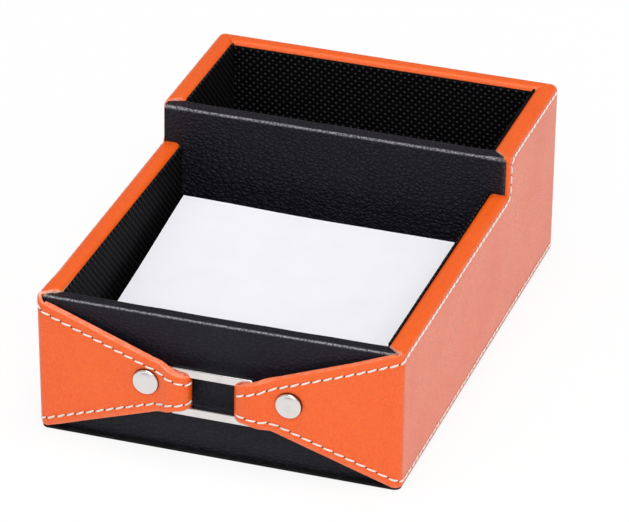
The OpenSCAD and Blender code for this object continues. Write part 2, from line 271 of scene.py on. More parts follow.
@dataclass(frozen=True)
class LeatherFinish:
    """Grained leather with broad changes of tone, and pale marks that the mesh holds: worn and cut edges, and
    painted highlights.
    """

    name: str
    colour: Colour
    deeper: Colour
    hollow: Colour
    pale_edge_and_highlight: Colour
    cell: float
    stretch: Triple
    relief: float
    rough: float
    rough_spread: float
    specular: float
    patch_size: float
    patch_least: float
    coat: float = 0.0
    coat_rough: float = 0.3
    tone_size: float = 26.0
    mottle: float = 0.3
    wander: float = 0.9
    wander_size: float = 1.6
    smooth: float = 0.45
    groove_w: float = 0.22
    pore_size: float = 0.3
    spot_size: float = 2.6
    fleck_size: float = 1.5

    def make(self) -> Material:
        """Builds the leather.

        Returns:
            The material.
        """
        graph = ShaderGraph.of_material(self.name)
        place = graph.place(self.stretch)
        wander = graph.noise(place, self.cell * self.wander_size, 3.0, 1)
        bent = graph.vector("MULTIPLY_ADD", wander, (self.cell * self.wander,) * 3, place)
        pebbles = graph.add("ShaderNodeTexVoronoi", {"feature": "SMOOTH_F1"},
                            {"Vector": bent, "Scale": 1.0 / self.cell, "Smoothness": self.smooth})
        creases = graph.add("ShaderNodeTexVoronoi", {"feature": "DISTANCE_TO_EDGE"},
                            {"Vector": bent, "Scale": 1.0 / self.cell})
        groove = 1.0 - graph.fade(creases, 0.0, self.groove_w)
        pores = graph.fade(graph.noise(place, self.cell * self.pore_size, 2.0), 0.35, 0.75)
        tone = graph.fade(graph.noise(graph.place(), self.tone_size, 3.0), 0.3, 0.7)
        spots = graph.fade(graph.noise(graph.place(), self.cell * self.spot_size, 2.0), 0.38, 0.66)
        flecks = graph.fade(graph.noise(graph.place(), self.cell * self.fleck_size, 2.0), 0.36, 0.64)
        body = graph.mix(tone * (1.0 - self.mottle) + spots * self.mottle, self.colour, self.deeper)
        grained = graph.mix(groove * 0.55 + pores * 0.15, body, self.hollow)
        patches = graph.fade(graph.noise(graph.place(), self.patch_size, 3.0), 0.38, 0.58)
        # Pale marks held by the mesh, broken into patches: worn feet and raw cut edges of the orange leather,
        # and painted highlights along the black folds and the flap edges.
        rub_and_highlight = graph.mark("rub_and_highlight") * (self.patch_least + (1.0 - self.patch_least) * patches)
        height = (1.0 - pebbles) * 0.7 - groove * 0.55 + pores * 0.18
        gloss = self.rough + (groove * 0.6 + tone * 0.4 - 0.5) * self.rough_spread
        return graph.surface({
            "Base Color": graph.mix(rub_and_highlight, grained, self.pale_edge_and_highlight),
            "Roughness": gloss + rub_and_highlight * 0.1,
            "Normal": graph.bump(height, self.relief),
            "Specular IOR Level": self.specular,
            "Coat Weight": (0.8 + flecks * 0.4) * self.coat,
            "Coat Roughness": self.coat_rough,
        })


@dataclass(frozen=True)
class WeaveFinish:
    """Coarse cloth with raised threads on every other crossing, coloured lighter as a painted highlight."""

    name: str
    lay: Lay
    pitch: float = 1.25
    valley: Colour = (0.0016, 0.0016, 0.0021, 1.0)
    # Colour of the raised crossings: a painted highlight standing in for their sheen.
    thread: Colour = (0.068, 0.066, 0.075, 1.0)
    relief: float = 0.4
    rough: float = 0.62
    specular: float = 0.07
    waver: float = 0.7
    waver_size: float = 3.4
    fibre_size: float = 0.22

    def make(self) -> Material:
        """Builds the cloth.

        Returns:
            The material.
        """
        graph = ShaderGraph.of_material(self.name)
        place = graph.place()
        waver = graph.noise(place, self.waver_size, 2.0) - 0.5
        apart = graph.add("ShaderNodeSeparateXYZ", {}, {0: place}, "X")
        across, along, up = apart, apart.peer("Y"), apart.peer("Z")
        turn = math.pi / self.pitch
        first = (across + along) if self.lay is Lay.UPRIGHT else across
        second = up if self.lay is Lay.UPRIGHT else along
        waves = [graph.math("SINE", way * turn + waver * self.waver) for way in (first, second)]
        ribs = waves[0] * waves[1]
        raised = graph.fade(ribs, 0.3, 1.0)
        lower = graph.fade(ribs * -1.0, 0.2, 1.0)
        fibres = graph.noise(place, self.fibre_size, 3.0)
        # Share of the lighter colour on the raised crossings: a painted highlight.
        shade = raised * (0.35 + fibres)
        height = raised + lower * 0.35 + fibres * 0.3
        return graph.surface({
            "Base Color": graph.mix(shade, self.valley, self.thread),
            "Roughness": self.rough + fibres * 0.25,
            "Normal": graph.bump(height, self.relief),
            "Specular IOR Level": self.specular,
        })


@dataclass(frozen=True)
class FeltFinish:
    """Short dark felt."""

    name: str
    colour: Colour = (0.007, 0.007, 0.0075, 1.0)
    tuft: Colour = (0.022, 0.0215, 0.023, 1.0)
    rough: float = 0.8
    relief: float = 0.12
    specular: float = 0.1
    hair_size: float = 0.35
    hair_stretch: Triple = (2.6, 0.8, 0.8)
    clump_size: float = 1.8

    def make(self) -> Material:
        """Builds the felt.

        Returns:
            The material.
        """
        graph = ShaderGraph.of_material(self.name)
        hairs = graph.noise(graph.place(self.hair_stretch), self.hair_size, 4.0)
        clumps = graph.fade(graph.noise(graph.place(), self.clump_size, 3.0), 0.35, 0.7)
        return graph.surface({
            "Base Color": graph.mix(hairs * clumps, self.colour, self.tuft),
            "Roughness": self.rough + clumps * 0.15,
            "Normal": graph.bump(hairs + clumps * 0.6, self.relief),
            "Specular IOR Level": self.specular,
        })


@dataclass(frozen=True)
class BoardFinish:
    """Pressed fibre board."""

    name: str
    colour: Colour = (0.42, 0.30, 0.19, 1.0)
    fibre: Colour = (0.27, 0.18, 0.11, 1.0)
    rough: float = 0.68
    relief: float = 0.05
    fibre_size: float = 0.5
    fibre_stretch: Triple = (3.0, 1.0, 1.0)
    fleck_size: float = 1.3

    def make(self) -> Material:
        """Builds the board.

        Returns:
            The material.
        """
        graph = ShaderGraph.of_material(self.name)
        fibres = graph.fade(graph.noise(graph.place(self.fibre_stretch), self.fibre_size, 5.0), 0.35, 0.7)
        flecks = graph.fade(graph.noise(graph.place(), self.fleck_size, 2.0), 0.55, 0.7)
        return graph.surface({
            "Base Color": graph.mix(fibres * 0.6 + flecks * 0.4, self.colour, self.fibre),
            "Roughness": self.rough + fibres * 0.15,
            "Normal": graph.bump(fibres + flecks, self.relief),
        })


@dataclass(frozen=True)
class PlatingFinish:
    """Polished plating with faint brush marks and handling haze."""

    name: str
    colour: Colour = (0.765, 0.73, 0.712, 1.0)
    hazed: Colour = (0.725, 0.69, 0.675, 1.0)
    rough: float = 0.13
    relief: float = 0.004
    brush_size: float = 0.4
    brush_stretch: Triple = (9.0, 1.0, 0.6)
    haze_size: float = 4.0

    def make(self) -> Material:
        """Builds the plating.

        Returns:
            The material.
        """
        graph = ShaderGraph.of_material(self.name)
        brush = graph.noise(graph.place(self.brush_stretch), self.brush_size, 3.0)
        haze = graph.fade(graph.noise(graph.place(), self.haze_size, 3.0), 0.4, 0.75)
        return graph.surface({
            "Base Color": graph.mix(haze, self.colour, self.hazed),
            "Metallic": 1.0,
            "Roughness": self.rough + haze * 0.08 + brush * 0.05,
            "Normal": graph.bump(brush, self.relief),
        })


@dataclass(frozen=True)
class PaperFinish:
    """Plain uncoated paper with a fine tooth and a trace of cloudiness."""

    name: str
    colour: Colour = (0.80, 0.797, 0.838, 1.0)
    cloud: Colour = (0.77, 0.767, 0.815, 1.0)
    rough: float = 0.72
    relief: float = 0.02
    specular: float = 0.3
    cloud_size: float = 14.0
    tooth_size: float = 0.25

    def make(self) -> Material:
        """Builds the paper.

        Returns:
            The material.
        """
        graph = ShaderGraph.of_material(self.name)
        place = graph.place()
        cloud = graph.fade(graph.noise(place, self.cloud_size, 4.0), 0.35, 0.7)
        tooth = graph.noise(place, self.tooth_size, 3.0)
        return graph.surface({
            "Base Color": graph.mix(cloud * 0.6 + tooth * 0.25, self.colour, self.cloud),
            "Roughness": self.rough + tooth * 0.15,
            "Normal": graph.bump(tooth, self.relief),
            "Specular IOR Level": self.specular,
        })


@dataclass(frozen=True)
class ThreadFinish:
    """Twisted sewing thread."""

    name: str
    colour: Colour = (0.95, 0.91, 0.85, 1.0)
    shade: Colour = (0.78, 0.67, 0.58, 1.0)
    twist: float = 0.42
    skew: float = 1.7
    fuzz_size: float = 0.15
    rough: float = 0.6
    relief: float = 0.05

    def make(self) -> Material:
        """Builds the thread.

        Returns:
            The material.
        """
        graph = ShaderGraph.of_material(self.name)
        place = graph.place()
        apart = graph.add("ShaderNodeSeparateXYZ", {}, {0: place}, "X")
        slant = apart + apart.peer("Y") + apart.peer("Z") * self.skew
        ply = graph.math("SINE", slant * (2.0 * math.pi / self.twist)) * 0.5 + 0.5
        fuzz = graph.noise(place, self.fuzz_size, 2.0)
        return graph.surface({
            "Base Color": graph.mix((1.0 - ply) * 0.6 + fuzz * 0.2, self.colour, self.shade),
            "Roughness": self.rough + fuzz * 0.2,
            "Normal": graph.bump(ply + fuzz * 0.3, self.relief),
        })


@dataclass(frozen=True)
class HoleShadeFinish:
    """Dark colour painted as shade into the hole that a needle leaves in orange leather, and into the ring
    round each rivet cap.
    """

    name: str
    colour: Colour = (0.055, 0.012, 0.006, 1.0)
    rim: Colour = (0.12, 0.022, 0.009, 1.0)
    rough: float = 0.7
    relief: float = 0.04
    grain_size: float = 0.3

    def make(self) -> Material:
        """Builds the hole's surface.

        Returns:
            The material.
        """
        graph = ShaderGraph.of_material(self.name)
        grain = graph.noise(graph.place(), self.grain_size, 2.0)
        return graph.surface({
            "Base Color": graph.mix(grain, self.colour, self.rim),
            "Roughness": self.rough + grain * 0.2,
            "Normal": graph.bump(grain, self.relief),
        })


# The black leather's pale edge colour paints the highlight along its folded top edges.
BLACK_LEATHER = LeatherFinish(
    "Black_Leather", colour=(0.0105, 0.0103, 0.0182, 1.0), deeper=(0.0085, 0.0083, 0.0150, 1.0),
    hollow=(0.0030, 0.0030, 0.0048, 1.0), pale_edge_and_highlight=(0.34, 0.33, 0.35, 1.0), cell=1.25, stretch=(1.35, 1.0, 1.0),
    relief=0.34, rough=0.44, rough_spread=0.2, specular=0.2, patch_size=0.5, patch_least=0.2)
TIGHT_LEATHER = replace(BLACK_LEATHER, name="Black_Leather_Tight", relief=0.13)
# The orange leather's pale edge colour marks worn feet and raw cut edges, and on the flaps paints a highlight
# along the edge.
ORANGE_LEATHER = LeatherFinish(
    "Orange_Leather", colour=(0.93, 0.138, 0.011, 1.0), deeper=(0.87, 0.116, 0.009, 1.0),
    hollow=(0.74, 0.083, 0.006, 1.0), pale_edge_and_highlight=(0.97, 0.78, 0.62, 1.0), cell=0.8, stretch=(1.0, 1.0, 1.0),
    relief=0.06, rough=0.33, rough_spread=0.14, specular=0.3, patch_size=1.7, patch_least=0.45, coat=0.32)


def made_of(look: Any) -> Any:
    """A field of the palette that holds the material of a finish."""
    return field(default_factory=look.make)


@dataclass
class Palette:
    """Finishes of the tray, made once."""

    orange: Material = made_of(ORANGE_LEATHER)
    black: Material = made_of(BLACK_LEATHER)
    tight_black: Material = made_of(TIGHT_LEATHER)
    upright_cloth: Material = made_of(WeaveFinish("Black_Cloth_Upright", Lay.UPRIGHT))
    flat_cloth: Material = made_of(WeaveFinish("Black_Cloth_Flat", Lay.FLAT))
    felt: Material = made_of(FeltFinish("Base_Felt"))
    board: Material = made_of(BoardFinish("Fibre_Board"))
    plating: Material = made_of(PlatingFinish("Polished_Plating"))
    paper: Material = made_of(PaperFinish("Memo_Paper"))
    thread: Material = made_of(ThreadFinish("Pale_Thread"))
    hole_shade: Material = made_of(HoleShadeFinish("Hole_Shade"))

    @property
    def sewing(self) -> list[Material]:
        """Finishes of a seam: the thread, and the painted shade of its needle holes."""
        return [self.thread, self.hole_shade]


@dataclass
class MeshDraft:
    """Points, faces and marks of a piece in millimetres, until it becomes an object."""

    points: list[Array] = field(default_factory=list)
    faces: list[list[int]] = field(default_factory=list)
    rub_and_highlight_marks: list[Array] = field(default_factory=list)
    finishes: list[int] = field(default_factory=list)
    count: int = 0

    def add(self, points: Array, faces: list[list[int]], rub_and_highlight: Array | float = 0.0, finish: int = 0) -> None:
        """Adds points and faces.

        Args:
            points: The new points.
            faces: Faces that count from the first new point.
            rub_and_highlight: How pale the surface is at each point, from 0 to 1: worn and cut edges, and
                painted highlights.
            finish: Number of the faces' finish.
        """
        flat = points.reshape(-1, 3)
        self.points.append(flat)
        self.rub_and_highlight_marks.append(np.broadcast_to(np.asarray(rub_and_highlight, float), points.shape[:-1]).reshape(-1))
        self.faces.extend([[k + self.count for k in face] for face in faces])
        self.finishes.extend([finish] * len(faces))
        self.count += len(flat)

    def add_shell(self, outer: Array, inner: Array, rub_and_highlight: Array | float = 0.0, kept: Array | None = None,
                  open_first: int = 0, open_last: int = 0) -> None:
        """Adds a closed sheet between two grids.

        Args:
            outer: Points of the outer face, by column and row.
            inner: Points of the inner face, by column and row.
            rub_and_highlight: How pale the sheet is at each point of the grid: worn and cut edges, and
                painted highlights.
            kept: Which cells of the grid the sheet has; all where it is left out.
            open_first: Rows of the first column's edge that another sheet closes.
            open_last: Rows of the last column's edge that another sheet closes.
        """
        columns, rows = outer.shape[:2]
        cells = np.ones((columns - 1, rows - 1), bool) if kept is None else kept
        number = np.arange(columns * rows).reshape(columns, rows)
        other = number + columns * rows
        c, r = np.nonzero(cells)
        corners = ((c, r), (c + 1, r), (c + 1, r + 1), (c, r + 1))
        faces = np.stack([number[k] for k in corners], 1).tolist()
        faces += np.stack([other[k] for k in reversed(corners)], 1).tolist()
        padded = np.pad(cells, 1)
        for along_row in (True, False):
            change = np.diff(padded.astype(int), axis=0 if along_row else 1)
            change = change[:, 1:-1] if along_row else change[1:-1, :]
            if along_row:
                change[0, :open_first] = 0
                change[-1, :open_last] = 0
            c, r = np.nonzero(change)
            end = (c, r + 1) if along_row else (c + 1, r)
            strip = np.stack([number[c, r], number[end], other[end], other[c, r]], 1)
            faces += strip.tolist()
        both = np.stack([outer, inner])
        rub_and_highlight_marks = np.broadcast_to(np.asarray(rub_and_highlight, float), outer.shape[:2])
        self.add(both, faces, np.stack([rub_and_highlight_marks, rub_and_highlight_marks]))

    def add_tube(self, rings: Array, finish: int = 0, closed: bool = False) -> None:
        """Adds a tube through rings of points.

        Args:
            rings: Points by ring and by place on the ring.
            finish: Number of the tube's finish.
            closed: Whether the last ring joins the first; otherwise both ends get a cap.
        """
        count, sides = rings.shape[:2]
        number = np.arange(count * sides).reshape(count, sides)
        after = np.roll(number, -1, axis=1)
        pairs = [(k, (k + 1) % count) for k in range(count if closed else count - 1)]
        faces = [[number[a, j], number[b, j], after[b, j], after[a, j]]
                 for a, b in pairs for j in range(sides)]
        if not closed:
            faces += [number[0].tolist(), number[-1, ::-1].tolist()]
        self.add(rings, [[int(k) for k in face] for face in faces], finish=finish)

    def make(self, name: str, materials: Sequence[Material], mirrored: bool = False) -> Piece:
        """Makes the object.

        Args:
            name: Name of the piece.
            materials: Its finishes in the order of their numbers.
            mirrored: Whether the piece is the mirror image about the tray's middle.

        Returns:
            The object, linked to the scene.
        """
        points = np.concatenate(self.points) * MM
        if mirrored:
            points = points * (-1.0, 1.0, 1.0)
        mesh = bpy.data.meshes.new(name)
        mesh.from_pydata(points.tolist(), [], self.faces)
        mesh.attributes.new("rub_and_highlight", "FLOAT", "POINT").data.foreach_set("value", np.concatenate(self.rub_and_highlight_marks))
        for material in materials:
            mesh.materials.append(material)
        mesh.polygons.foreach_set("material_index", self.finishes)
        build = bmesh.new()
        build.from_mesh(mesh)
        bmesh.ops.remove_doubles(build, verts=build.verts, dist=WELD_GAP * MM)
        bmesh.ops.recalc_face_normals(build, faces=build.faces)
        build.to_mesh(mesh)
        build.free()
        mesh.polygons.foreach_set("use_smooth", [True] * len(mesh.polygons))
        mesh.set_sharp_from_angle(angle=SHARP_ANGLE)
        piece = bpy.data.objects.new(name, mesh)
        bpy.context.scene.collection.objects.link(piece)
        return piece


def dress(piece: Piece, nodes: Sequence[str] = (),
          body: Body = Body.HOLDER) -> Piece:
    """Puts a piece on its body in place of nodes of the construction.

    Args:
        piece: The new piece.
        nodes: Nodes that it stands for.
        body: The body that it rides on.

    Returns:
        The same piece.
    """
    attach(piece, body.value)
    if nodes:
        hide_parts(*nodes)
    log.info("%s: %d points", piece.name, len(piece.data.vertices))
    return piece


@dataclass(frozen=True)
class TraySizes:
    """Places of the tray's walls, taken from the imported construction."""

    half_w: float
    side_in: float
    board_out: float
    foot: float
    base_top: float
    low_rim: float
    tall_rim: float
    front_y: float
    wall_y: float
    front_in: float
    tray_y0: float
    divider_y: float
    divider_in: float
    pen_y0: float
    back_in: float
    back_y: float
    front_top: float
    divider_top: float
    leather: float
    black: float
    corner_r: float = 2.5
    left_cap: float = 3.0
    lap_in: float = 0.2

    @classmethod
    def from_frame(cls) -> "TraySizes":
        """Reads the sizes from the boxes of the nodes.

        Returns:
            The sizes.
        """
        wrap = box_mm("right_wrap")
        board = box_mm("right_side_board")
        front = box_mm("front_cover")
        divider = box_mm("divider_cover")
        back = box_mm("back_wrap")
        rim_drop = wrap[1][2] - divider[1][2]
        return cls(
            half_w=wrap[1][0], side_in=board[0][0], board_out=board[1][0],
            foot=wrap[0][2], base_top=board[0][2], low_rim=front[1][2] + rim_drop, tall_rim=wrap[1][2],
            front_y=-back[1][1], wall_y=front[0][1], front_in=box_mm("front_board")[1][1],
            tray_y0=front[1][1], divider_y=divider[0][1], divider_in=box_mm("divider_board")[1][1],
            pen_y0=divider[1][1], back_in=back[0][1], back_y=back[1][1], front_top=front[1][2],
            divider_top=divider[1][2], leather=wrap[1][0] - board[1][0],
            black=box_mm("divider_board")[0][1] - divider[0][1])

    @property
    def rim_in(self) -> float:
        """Where the rim's leather ends inside a side wall."""
        return self.side_in - self.lap_in

    @property
    def rim_w(self) -> float:
        """Width of the leather on top of a wall."""
        return self.half_w - self.rim_in

    @property
    def corner_x(self) -> float:
        """Where the rounding of a corner starts across the tray."""
        return self.half_w - self.corner_r

    @property
    def corner_y(self) -> float:
        """Where the rounding of a corner starts from the middle to the back."""
        return self.back_y - self.corner_r

    def front_mitre(self, y: Array | float, bow: float = 0.0) -> Array:
        """X of the cut where the front leather meets the side leather.

        Args:
            y: Places from front to back.
            bow: How far the cut bows towards the side.

        Returns:
            The cut's X on the right side.
        """
        share = np.clip((self.front_in - np.asarray(y, float)) / (self.front_in - self.front_y), 0.0, 1.0)
        return self.rim_in + self.rim_w * share + bow * 4.0 * share * (1.0 - share)

    def divider_mitre(self, y: Array | float, side: Side) -> Array:
        """X of the cut where the divider's leather meets the side leather, without the side's sign.

        Args:
            y: Places from front to back.
            side: The side. The black leather goes right over the end of the left wall.

        Returns:
            The cut's X.
        """
        left = side is Side.LEFT
        first = self.divider_y + (self.left_cap if left else 0.0)
        reach = (self.half_w if left else self.board_out) - self.rim_in
        share = np.clip((self.divider_in - np.asarray(y, float)) / (self.divider_in - first), 0.0, 1.0)
        return self.rim_in + reach * share


@dataclass(frozen=True)
class FlapCut:
    """Heights of one flap's edges: the upper at the corner, neck and loop, the lower at the neck and loop."""

    top: Triple
    low: tuple[float, float]


FLAP_CUTS = {
    Side.LEFT: FlapCut(top=(41.6, 30.25, 27.95), low=(14.2, 16.4)),
    Side.RIGHT: FlapCut(top=(43.7, 31.1, 28.6), low=(14.3, 16.2)),
}


@dataclass(frozen=True)
class StrapSizes:
    """Sizes of the tapering front flaps, their straps and the ring."""

    strap_z: float
    loop_y: float
    loop_x: float
    ring_end_x: float
    ring_half_h: float
    ring_t: float
    face_y: float
    rivet_x: float
    rivet_z: float
    cap_d: float
    ring_bar: float = 2.65
    loop_out_r: float = 3.3
    strap_h: float = 10.5
    neck_x: float = 17.5
    lift_end: float = 20.0
    lift_rise: float = 2.75
    lap_x: float = 19.2
    lap_run: float = 7.2
    lap_rise: float = 2.15
    tail_x: float = 27.0
    ring_shift: float = -0.9
    ring_sag: float = 0.35
    dish_depth: float = 0.3
    dish_flat: float = 0.44
    dish_run: float = 1.1
    rivet_shift: Mapping[Side, float] = per_side(-0.95, 0.65)
    rivet_rise: Mapping[Side, float] = per_side(0.35, 0.65)
    loop_slack: Mapping[Side, float] = per_side(-0.35, 0.0)

    @classmethod
    def from_frame(cls) -> "StrapSizes":
        """Reads the sizes from the boxes of the nodes.

        Returns:
            The sizes.
        """
        ring = box_mm("buckle_ring")
        caps = box_mm("rivet_caps")
        wrap = box_mm("right_wrap")
        cap_d = caps[1][2] - caps[0][2]
        loop_y = (ring[0][1] + ring[1][1]) / 2
        return cls(
            strap_z=(ring[0][2] + ring[1][2]) / 2, loop_y=loop_y,
            loop_x=wrap[0][0] + loop_y - wrap[0][1], ring_end_x=ring[1][0],
            ring_half_h=(ring[1][2] - ring[0][2]) / 2, ring_t=ring[1][1] - ring[0][1],
            face_y=-box_mm("back_wrap")[1][1],
            rivet_x=caps[1][0] - cap_d / 2, rivet_z=(caps[0][2] + caps[1][2]) / 2, cap_d=cap_d)

    @staticmethod
    def bend(along: Array, run: float, rise: float) -> Array:
        """Rise of two equal arcs that swing from level to level.

        Args:
            along: Distance from the start of the bend.
            run: Length of the bend.
            rise: Height that it gains.

        Returns:
            The height at each distance.
        """
        radius = (run * run + rise * rise) / (4.0 * rise)
        held = np.clip(along, 0.0, run)
        early = np.minimum(held, run / 2)
        late = np.minimum(run - held, run / 2)
        up = radius - np.sqrt(radius ** 2 - early ** 2)
        down = radius - np.sqrt(radius ** 2 - late ** 2)
        return np.where(held < run / 2, up, rise - down)

    def flap_y(self, x: Array, corner_x: float) -> Array:
        """Y of the flap's face, straight from the corner to the rivet and then raised over its own tail."""
        lift = self.lift_rise * np.clip((corner_x - x) / (corner_x - self.lift_end), 0.0, 1.0)
        return self.face_y - lift - self.bend(self.lap_x - x, self.lap_run, self.lap_rise)

    def edge(self, x: Array, corner_x: float, heights: Triple) -> Array:
        """Height of the flap's upper or lower edge.

        Args:
            x: Places across the tray.
            corner_x: Where the flap starts at the corner.
            heights: Heights of the edge at the corner, at the neck and at the loop.

        Returns:
            The height at each place.
        """
        return np.interp(x, (self.loop_x, self.neck_x, corner_x), heights[::-1])

    def at_side(self, side: Side) -> "StrapSizes":
        """Sizes of one side's strap, with the slack that lets the ring sit off the middle."""
        return replace(self, loop_x=self.loop_x + side * self.ring_shift + self.loop_slack[side],
                       rivet_x=self.rivet_x + self.rivet_shift[side],
                       rivet_z=self.rivet_z + self.rivet_rise[side])

    def dish(self, gap: Array) -> Array:
        """Depth that a rivet's cap presses into the strap at a distance from its middle."""
        outside = np.maximum(gap - self.cap_d * self.dish_flat, 0.0)
        return self.dish_depth * np.exp(-(outside / self.dish_run) ** 2)


@dataclass(frozen=True)
class RimSection:
    """Section of leather that covers a wall's face and turns over its rim.

    A length runs up the face, over the outer round, across the top and down the inner round. Depth is
    measured from the face into the wall.
    """

    height: float
    width: float
    thick: float
    round_out: float = 2.2
    round_in: float = 1.9
    pared: float = 0.6
    least: float = 0.05

    @property
    def face(self) -> float:
        """Length of the flat face."""
        return self.height - self.round_out

    @property
    def flat(self) -> float:
        """Length of the flat top."""
        return self.width - self.round_out - self.round_in

    def turns(self, v: Array) -> tuple[Array, Array, Array]:
        """Angle on the outer round, way across the top and angle on the inner round at each length."""
        arc = self.round_out * math.pi / 2
        over = np.clip(v - self.face, 0.0, arc) / self.round_out
        across = np.clip(v - self.face - arc, 0.0, self.flat)
        back = np.clip((v - self.face - arc - self.flat) / self.round_in, 0.0, math.pi / 2)
        return over, across, back

    def trim(self, share: Array) -> Array:
        """How far the outer face is pared off where the leather has a share of its thickness."""
        return self.thick * (1 - share) * self.pared

    def layers(self, v: Array, share: Array) -> tuple[Array, Array, Array, Array]:
        """Depth and height of both faces of the leather.

        Args:
            v: Lengths along the section.
            share: Share of the full thickness at each length.

        Returns:
            Depth and height of the outer face, then of the inner face.
        """
        over, across, back = self.turns(v)
        depth = self.round_out * (1 - np.cos(over)) + across + self.round_in * np.sin(back)
        base = np.minimum(v, self.face) + self.round_out * np.sin(over)
        trim = self.trim(share)
        outer_d = depth + trim * np.cos(over)
        outer_z = base - self.round_in * (1 - np.cos(back)) - trim * np.sin(over)
        inner_d = depth + self.thick * np.cos(over)
        inner_z = base - self.thick * np.sin(over)
        return outer_d, outer_z, inner_d, np.minimum(inner_z, outer_z - self.least * np.sin(over))

    def reach(self, depth: Array) -> Array:
        """Length at which the outer face is at a depth.

        Args:
            depth: Depths from the face, up to the section's width.

        Returns:
            The lengths.
        """
        held = np.clip(depth, 0.0, self.width)
        arc = self.face + self.round_out * np.arccos(1 - np.minimum(held, self.round_out) / self.round_out)
        across = np.clip(held - self.round_out, 0.0, self.flat)
        inward = np.clip((held - self.width + self.round_in) / self.round_in, 0.0, 1.0)
        return arc + across + self.round_in * np.arcsin(inward)


@dataclass
class Strip:
    """Columns of leather along a route in plan."""

    points: Array
    outward: Array
    keys: Array
    straight: Array
    cut: Array

    @classmethod
    def run(cls, points: Array, outward: Array, keys: Sequence[Array | float], straight: Array | float,
            cut: Array | float) -> "Strip":
        """Lays columns.

        Args:
            points: Places of the face in plan.
            outward: Direction away from the wall at each place.
            keys: Heights of the lower edge, the lower seam, the upper seam and the upper edge.
            straight: 0 where the leather turns over a rim and 1 where it stands straight up.
            cut: How pale the cut upper edge is.

        Returns:
            The strip.
        """
        straight, cut, *heights = (np.broadcast_to(np.asarray(part, float), len(points))
                                   for part in (straight, cut, *keys))
        return cls(points, outward, np.stack(heights, 1), straight, cut)

    @classmethod
    def join(cls, runs: Sequence["Strip"]) -> "Strip":
        """Joins runs whose ends share a column."""
        return cls(*(np.concatenate([getattr(runs[0], part)] + [getattr(run, part)[1:] for run in runs[1:]])
                     for part in ("points", "outward", "keys", "straight", "cut")))

    @property
    def lengths(self) -> Array:
        """Way along the route at each column."""
        steps = np.linalg.norm(np.diff(self.points, axis=0), axis=1)
        return np.concatenate([[0.0], np.cumsum(steps)])


@dataclass
class Seam:
    """A line of stitches on a leather face, as ways along a route and heights."""

    route: Strip
    line: Array

    def places(self, step: float) -> Array:
        """Points of the line at even steps, from its start to its end.

        Args:
            step: Distance between two points, met as nearly as whole steps allow.

        Returns:
            Way along the route and height of each point.
        """
        reach = np.concatenate([[0.0], np.cumsum(np.linalg.norm(np.diff(self.line, axis=0), axis=1))])
        even = np.linspace(0.0, reach[-1], round(reach[-1] / step) + 1)
        return np.stack([np.interp(even, reach, self.line[:, k]) for k in (0, 1)], 1)

    def lifted(self, way: Array, height: Array, lift: Array) -> Array:
        """Points that stand off the leather's face.

        Args:
            way: Ways along the route.
            height: Heights.
            lift: Distances from the face.

        Returns:
            The points.
        """
        lengths = self.route.lengths
        plan = [np.interp(way, lengths, self.route.points[:, k]) for k in (0, 1)]
        out = [np.interp(way, lengths, self.route.outward[:, k]) for k in (0, 1)]
        return np.stack([plan[0] + out[0] * lift, plan[1] + out[1] * lift, height], -1)

    def near(self, way: Array, height: Array, step: float = 0.5) -> Array:
        """Distance of points of the face from the seam.

        Args:
            way: Ways along the route.
            height: Heights.
            step: Fineness of the search.

        Returns:
            The distances.
        """
        line = self.places(step)
        flat = np.stack([way.ravel(), height.ravel()], 1)
        found = np.empty(len(flat))
        for part in np.array_split(np.arange(len(flat)), max(1, len(flat) // SEARCH_PART)):
            gaps = flat[part, None, :] - line[None, :, :]
            found[part] = np.sqrt((gaps ** 2).sum(2).min(1))
        return found.reshape(way.shape)


